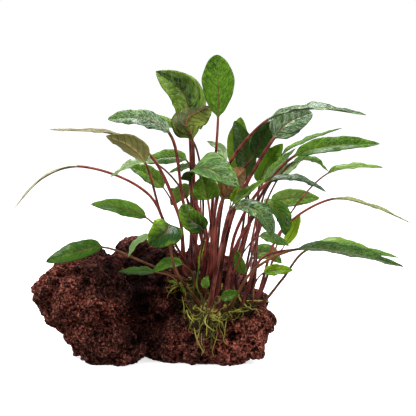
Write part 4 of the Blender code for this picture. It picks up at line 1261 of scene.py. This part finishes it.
def make_root_mesh(look, ground_pieces):
    """The mat of roots: hundreds of fine tubes that wander over the stone and through the mat."""
    ground, mat = search_tree(ground_pieces), search_tree([NODES["root_mat"]])
    places, faces, marks = [], [], []
    for path, radius, fresh_and_lit in root_paths(look, ground, mat):
        if path is None:
            continue
        share = np.linspace(0.0, 1.0, len(path))
        taper = 0.35 + 0.65 * np.sin(np.pi * np.clip(share * 0.8 + 0.2, 0, 1)) ** 0.5
        tube_places, tube_faces = tube(path, radius * taper, ROOT_SIDES)
        start = sum(len(block) for block in places)
        places.append(tube_places)
        faces.extend(tuple(start + v for v in face) for face in tube_faces)
        marks.append(np.tile((fresh_and_lit, 0.0, 0.0), (len(tube_places), 1)))
    places, fibre = np.concatenate(places) * MM, np.concatenate(marks)
    return mesh_object("root_fibres", places, faces, [root_finish(look)], fibre=fibre)


# Stage


def make_floor(look):
    bm = bmesh.new()
    bmesh.ops.create_circle(bm, cap_ends=True, segments=96, radius=FLOOR_RADIUS)
    mesh = bpy.data.meshes.new("Floor")
    bm.to_mesh(mesh)
    bm.free()
    floor = added("Floor", mesh)
    finish = Finish("Floor", Roughness=0.9, Specular_IOR_Level=0.1, Emission_Strength=0.7)
    lighter = tuple(min(1.0, c * 1.02) for c in look.floor)
    pale = finish.mix(finish.noise(0.3), look.floor, lighter)
    finish.give(Base_Color=pale, Emission_Color=(1.0, 1.0, 1.0))
    mesh.materials.append(finish.material)
    floor.visible_diffuse = False
    floor.visible_glossy = False


def make_surround(look):
    """Even light from above, a white backdrop, and in gloss a bright room behind the plant."""
    world = bpy.data.worlds.new("Studio")
    world.use_nodes = True
    nodes = Nodes(world.node_tree)

    def ramp(axis, start, end, low, high):
        """A strength that changes with where a ray goes."""
        way = nodes.node("ShaderNodeTexCoord", {}, {}, "Generated")
        part = nodes.node("ShaderNodeSeparateXYZ", {}, {0: way}, axis)
        values = {"Value": part, "From Min": start, "From Max": end, "To Min": low, "To Max": high}
        return nodes.node("ShaderNodeMapRange", {}, values)

    def glow(strength):
        return nodes.node("ShaderNodeBackground", {}, {"Color": (1, 1, 1), "Strength": strength})

    def where(ray, a, b):
        mask = nodes.node("ShaderNodeLightPath", {}, {}, ray)
        return nodes.node("ShaderNodeMixShader", {}, {0: mask, 1: a, 2: b})

    even = glow(ramp("Z", -0.5, 0.3, look.surround * 0.45, look.surround))
    room = glow(ramp("Y", 0.0, 0.6, look.shine_front, look.shine_back))
    seen = where("Is Camera Ray", where("Is Glossy Ray", even, room), glow(1.0))
    nodes.feed(world.node_tree.nodes["World Output"].inputs["Surface"], seen)
    bpy.context.scene.world = world


def aimed_object(name, data, place, aim):
    made = added(name, data)
    made.location = place
    made.rotation_euler = (Vector(aim) - Vector(place)).to_track_quat("-Z", "Y").to_euler()
    return made


def area_lamp(name, place, size, power):
    lamp = bpy.data.lights.new(name, "AREA")
    lamp.shape = "DISK"
    lamp.size = size
    lamp.energy = power
    aimed_object(name, lamp, place, LAMP_AIM)


def make_camera():
    camera = bpy.data.cameras.new("Camera")
    camera.sensor_width = SENSOR_WIDTH
    camera.lens = CAMERA_LENS
    camera.clip_start, camera.clip_end = 0.01, 100.0
    bpy.context.scene.camera = aimed_object("Camera", camera, CAMERA_PLACE, CAMERA_AIM)
    bpy.context.scene.view_settings.view_transform = "Standard"


# Operators


class PLANT_OT_stone(bpy.types.Operator):
    """Builds the pitted lava stone."""

    bl_idname = "plant.stone"
    bl_label = "Lava stone"

    def execute(self, context):
        put_in_frame(make_stone_mesh(context.scene.stone_look), "lava_stone")
        return {"FINISHED"}


class PLANT_OT_crowns(bpy.types.Operator):
    """Builds the short stems that the leaves and roots spring from."""

    bl_idname = "plant.crowns"
    bl_label = "Crowns"

    def execute(self, context):
        finish = crown_finish()
        for name in CROWNS:
            put_in_frame(make_crown_mesh(name, finish), "crown_" + name)
        return {"FINISHED"}


class PLANT_OT_roots(bpy.types.Operator):
    """Builds the tangle of fine roots over the stone."""

    bl_idname = "plant.roots"
    bl_label = "Roots"

    def execute(self, context):
        names = ("lava_stone_pitted", *(f"crown_{name}_fine" for name in CROWNS))
        ground = [bpy.data.objects[name] for name in names]
        put_in_frame(make_root_mesh(context.scene.root_look, ground), "root_mat")
        return {"FINISHED"}


class PLANT_OT_leaves(bpy.types.Operator):
    """Builds every leaf with its stalk."""

    bl_idname = "plant.leaves"
    bl_label = "Leaves"

    def execute(self, context):
        look = context.scene.leaf_look
        blades = {
            key: [
                leaf_finish(f"leaf_{key}_{side}", tone, side == "upper", look)
                for side in ("upper", "under")
            ]
            for key, tone in TONES.items()
        }
        stalks = {key: stalk_finish("stalk_" + key, *shades) for key, shades in STALKS.items()}
        feet = seated_leaves()
        for leaves, first_seed in ((LEAVES, LEAF_SEED), (SMALL_LEAVES, SMALL_LEAF_SEED)):
            for seed, leaf in enumerate(leaves, first_seed):
                chance = np.random.default_rng(seed).uniform(0.0, 1.0, 5)
                finishes = [stalks[leaf.touch.stalk], *blades[leaf.touch.tone or leaf.tone]]
                seat = feet[leaf.name] if leaf.name in feet else heading_out(leaf)
                piece = make_leaf_mesh(leaf, seat, chance, finishes)
                node = "leaf_" + leaf.name if leaf.name in feet else None
                put_in_frame(piece, node)
        return {"FINISHED"}


class PLANT_OT_stage(bpy.types.Operator):
    """Sets up the floor, the lights and the camera."""

    bl_idname = "plant.stage"
    bl_label = "Studio"

    def execute(self, context):
        look = context.scene.stage_look
        make_floor(look)
        make_surround(look)
        area_lamp("Left", place=(-0.95, -0.55, 0.75), size=0.4, power=look.key)
        area_lamp("Right", place=(0.95, -0.45, 0.65), size=0.6, power=look.fill)
        area_lamp("Top", place=(0.0, 0.25, 1.15), size=0.5, power=look.top)
        make_camera()
        return {"FINISHED"}


class PLANT_PT_panel(bpy.types.Panel):
    """The plant's settings and the steps that build it."""

    bl_label = "Cryptocoryne on stone"
    bl_idname = "PLANT_PT_panel"
    bl_space_type = "VIEW_3D"
    bl_region_type = "UI"
    bl_category = "Plant"

    def draw(self, context):
        for operator, key in STEPS:
            box = self.layout.box()
            box.operator(operator.bl_idname)
            if key:
                look = getattr(context.scene, key)
                for prop in look.bl_rna.properties:
                    if prop.identifier not in {"rna_type", "name"}:
                        box.prop(look, prop.identifier)


LOOKS = {
    "stone_look": StoneLook, "leaf_look": LeafLook, "root_look": RootLook, "stage_look": StageLook,
}
STEPS = (
    (PLANT_OT_stone, "stone_look"),
    (PLANT_OT_crowns, None),
    (PLANT_OT_roots, "root_look"),
    (PLANT_OT_leaves, "leaf_look"),
    (PLANT_OT_stage, "stage_look"),
)
CLASSES = (*LOOKS.values(), *(operator for operator, _ in STEPS), PLANT_PT_panel)


def register():
    for kind in CLASSES:
        bpy.utils.register_class(kind)
    for key, kind in LOOKS.items():
        setattr(bpy.types.Scene, key, bpy.props.PointerProperty(type=kind))


def unregister():
    for key in LOOKS:
        delattr(bpy.types.Scene, key)
    for kind in reversed(CLASSES):
        bpy.utils.unregister_class(kind)


def main():
    register()
    bpy.ops.plant.stone()
    bpy.ops.plant.crowns()
    bpy.ops.plant.roots()
    bpy.ops.plant.leaves()
    bpy.ops.plant.stage()


if __name__ == "__main__":
    main()
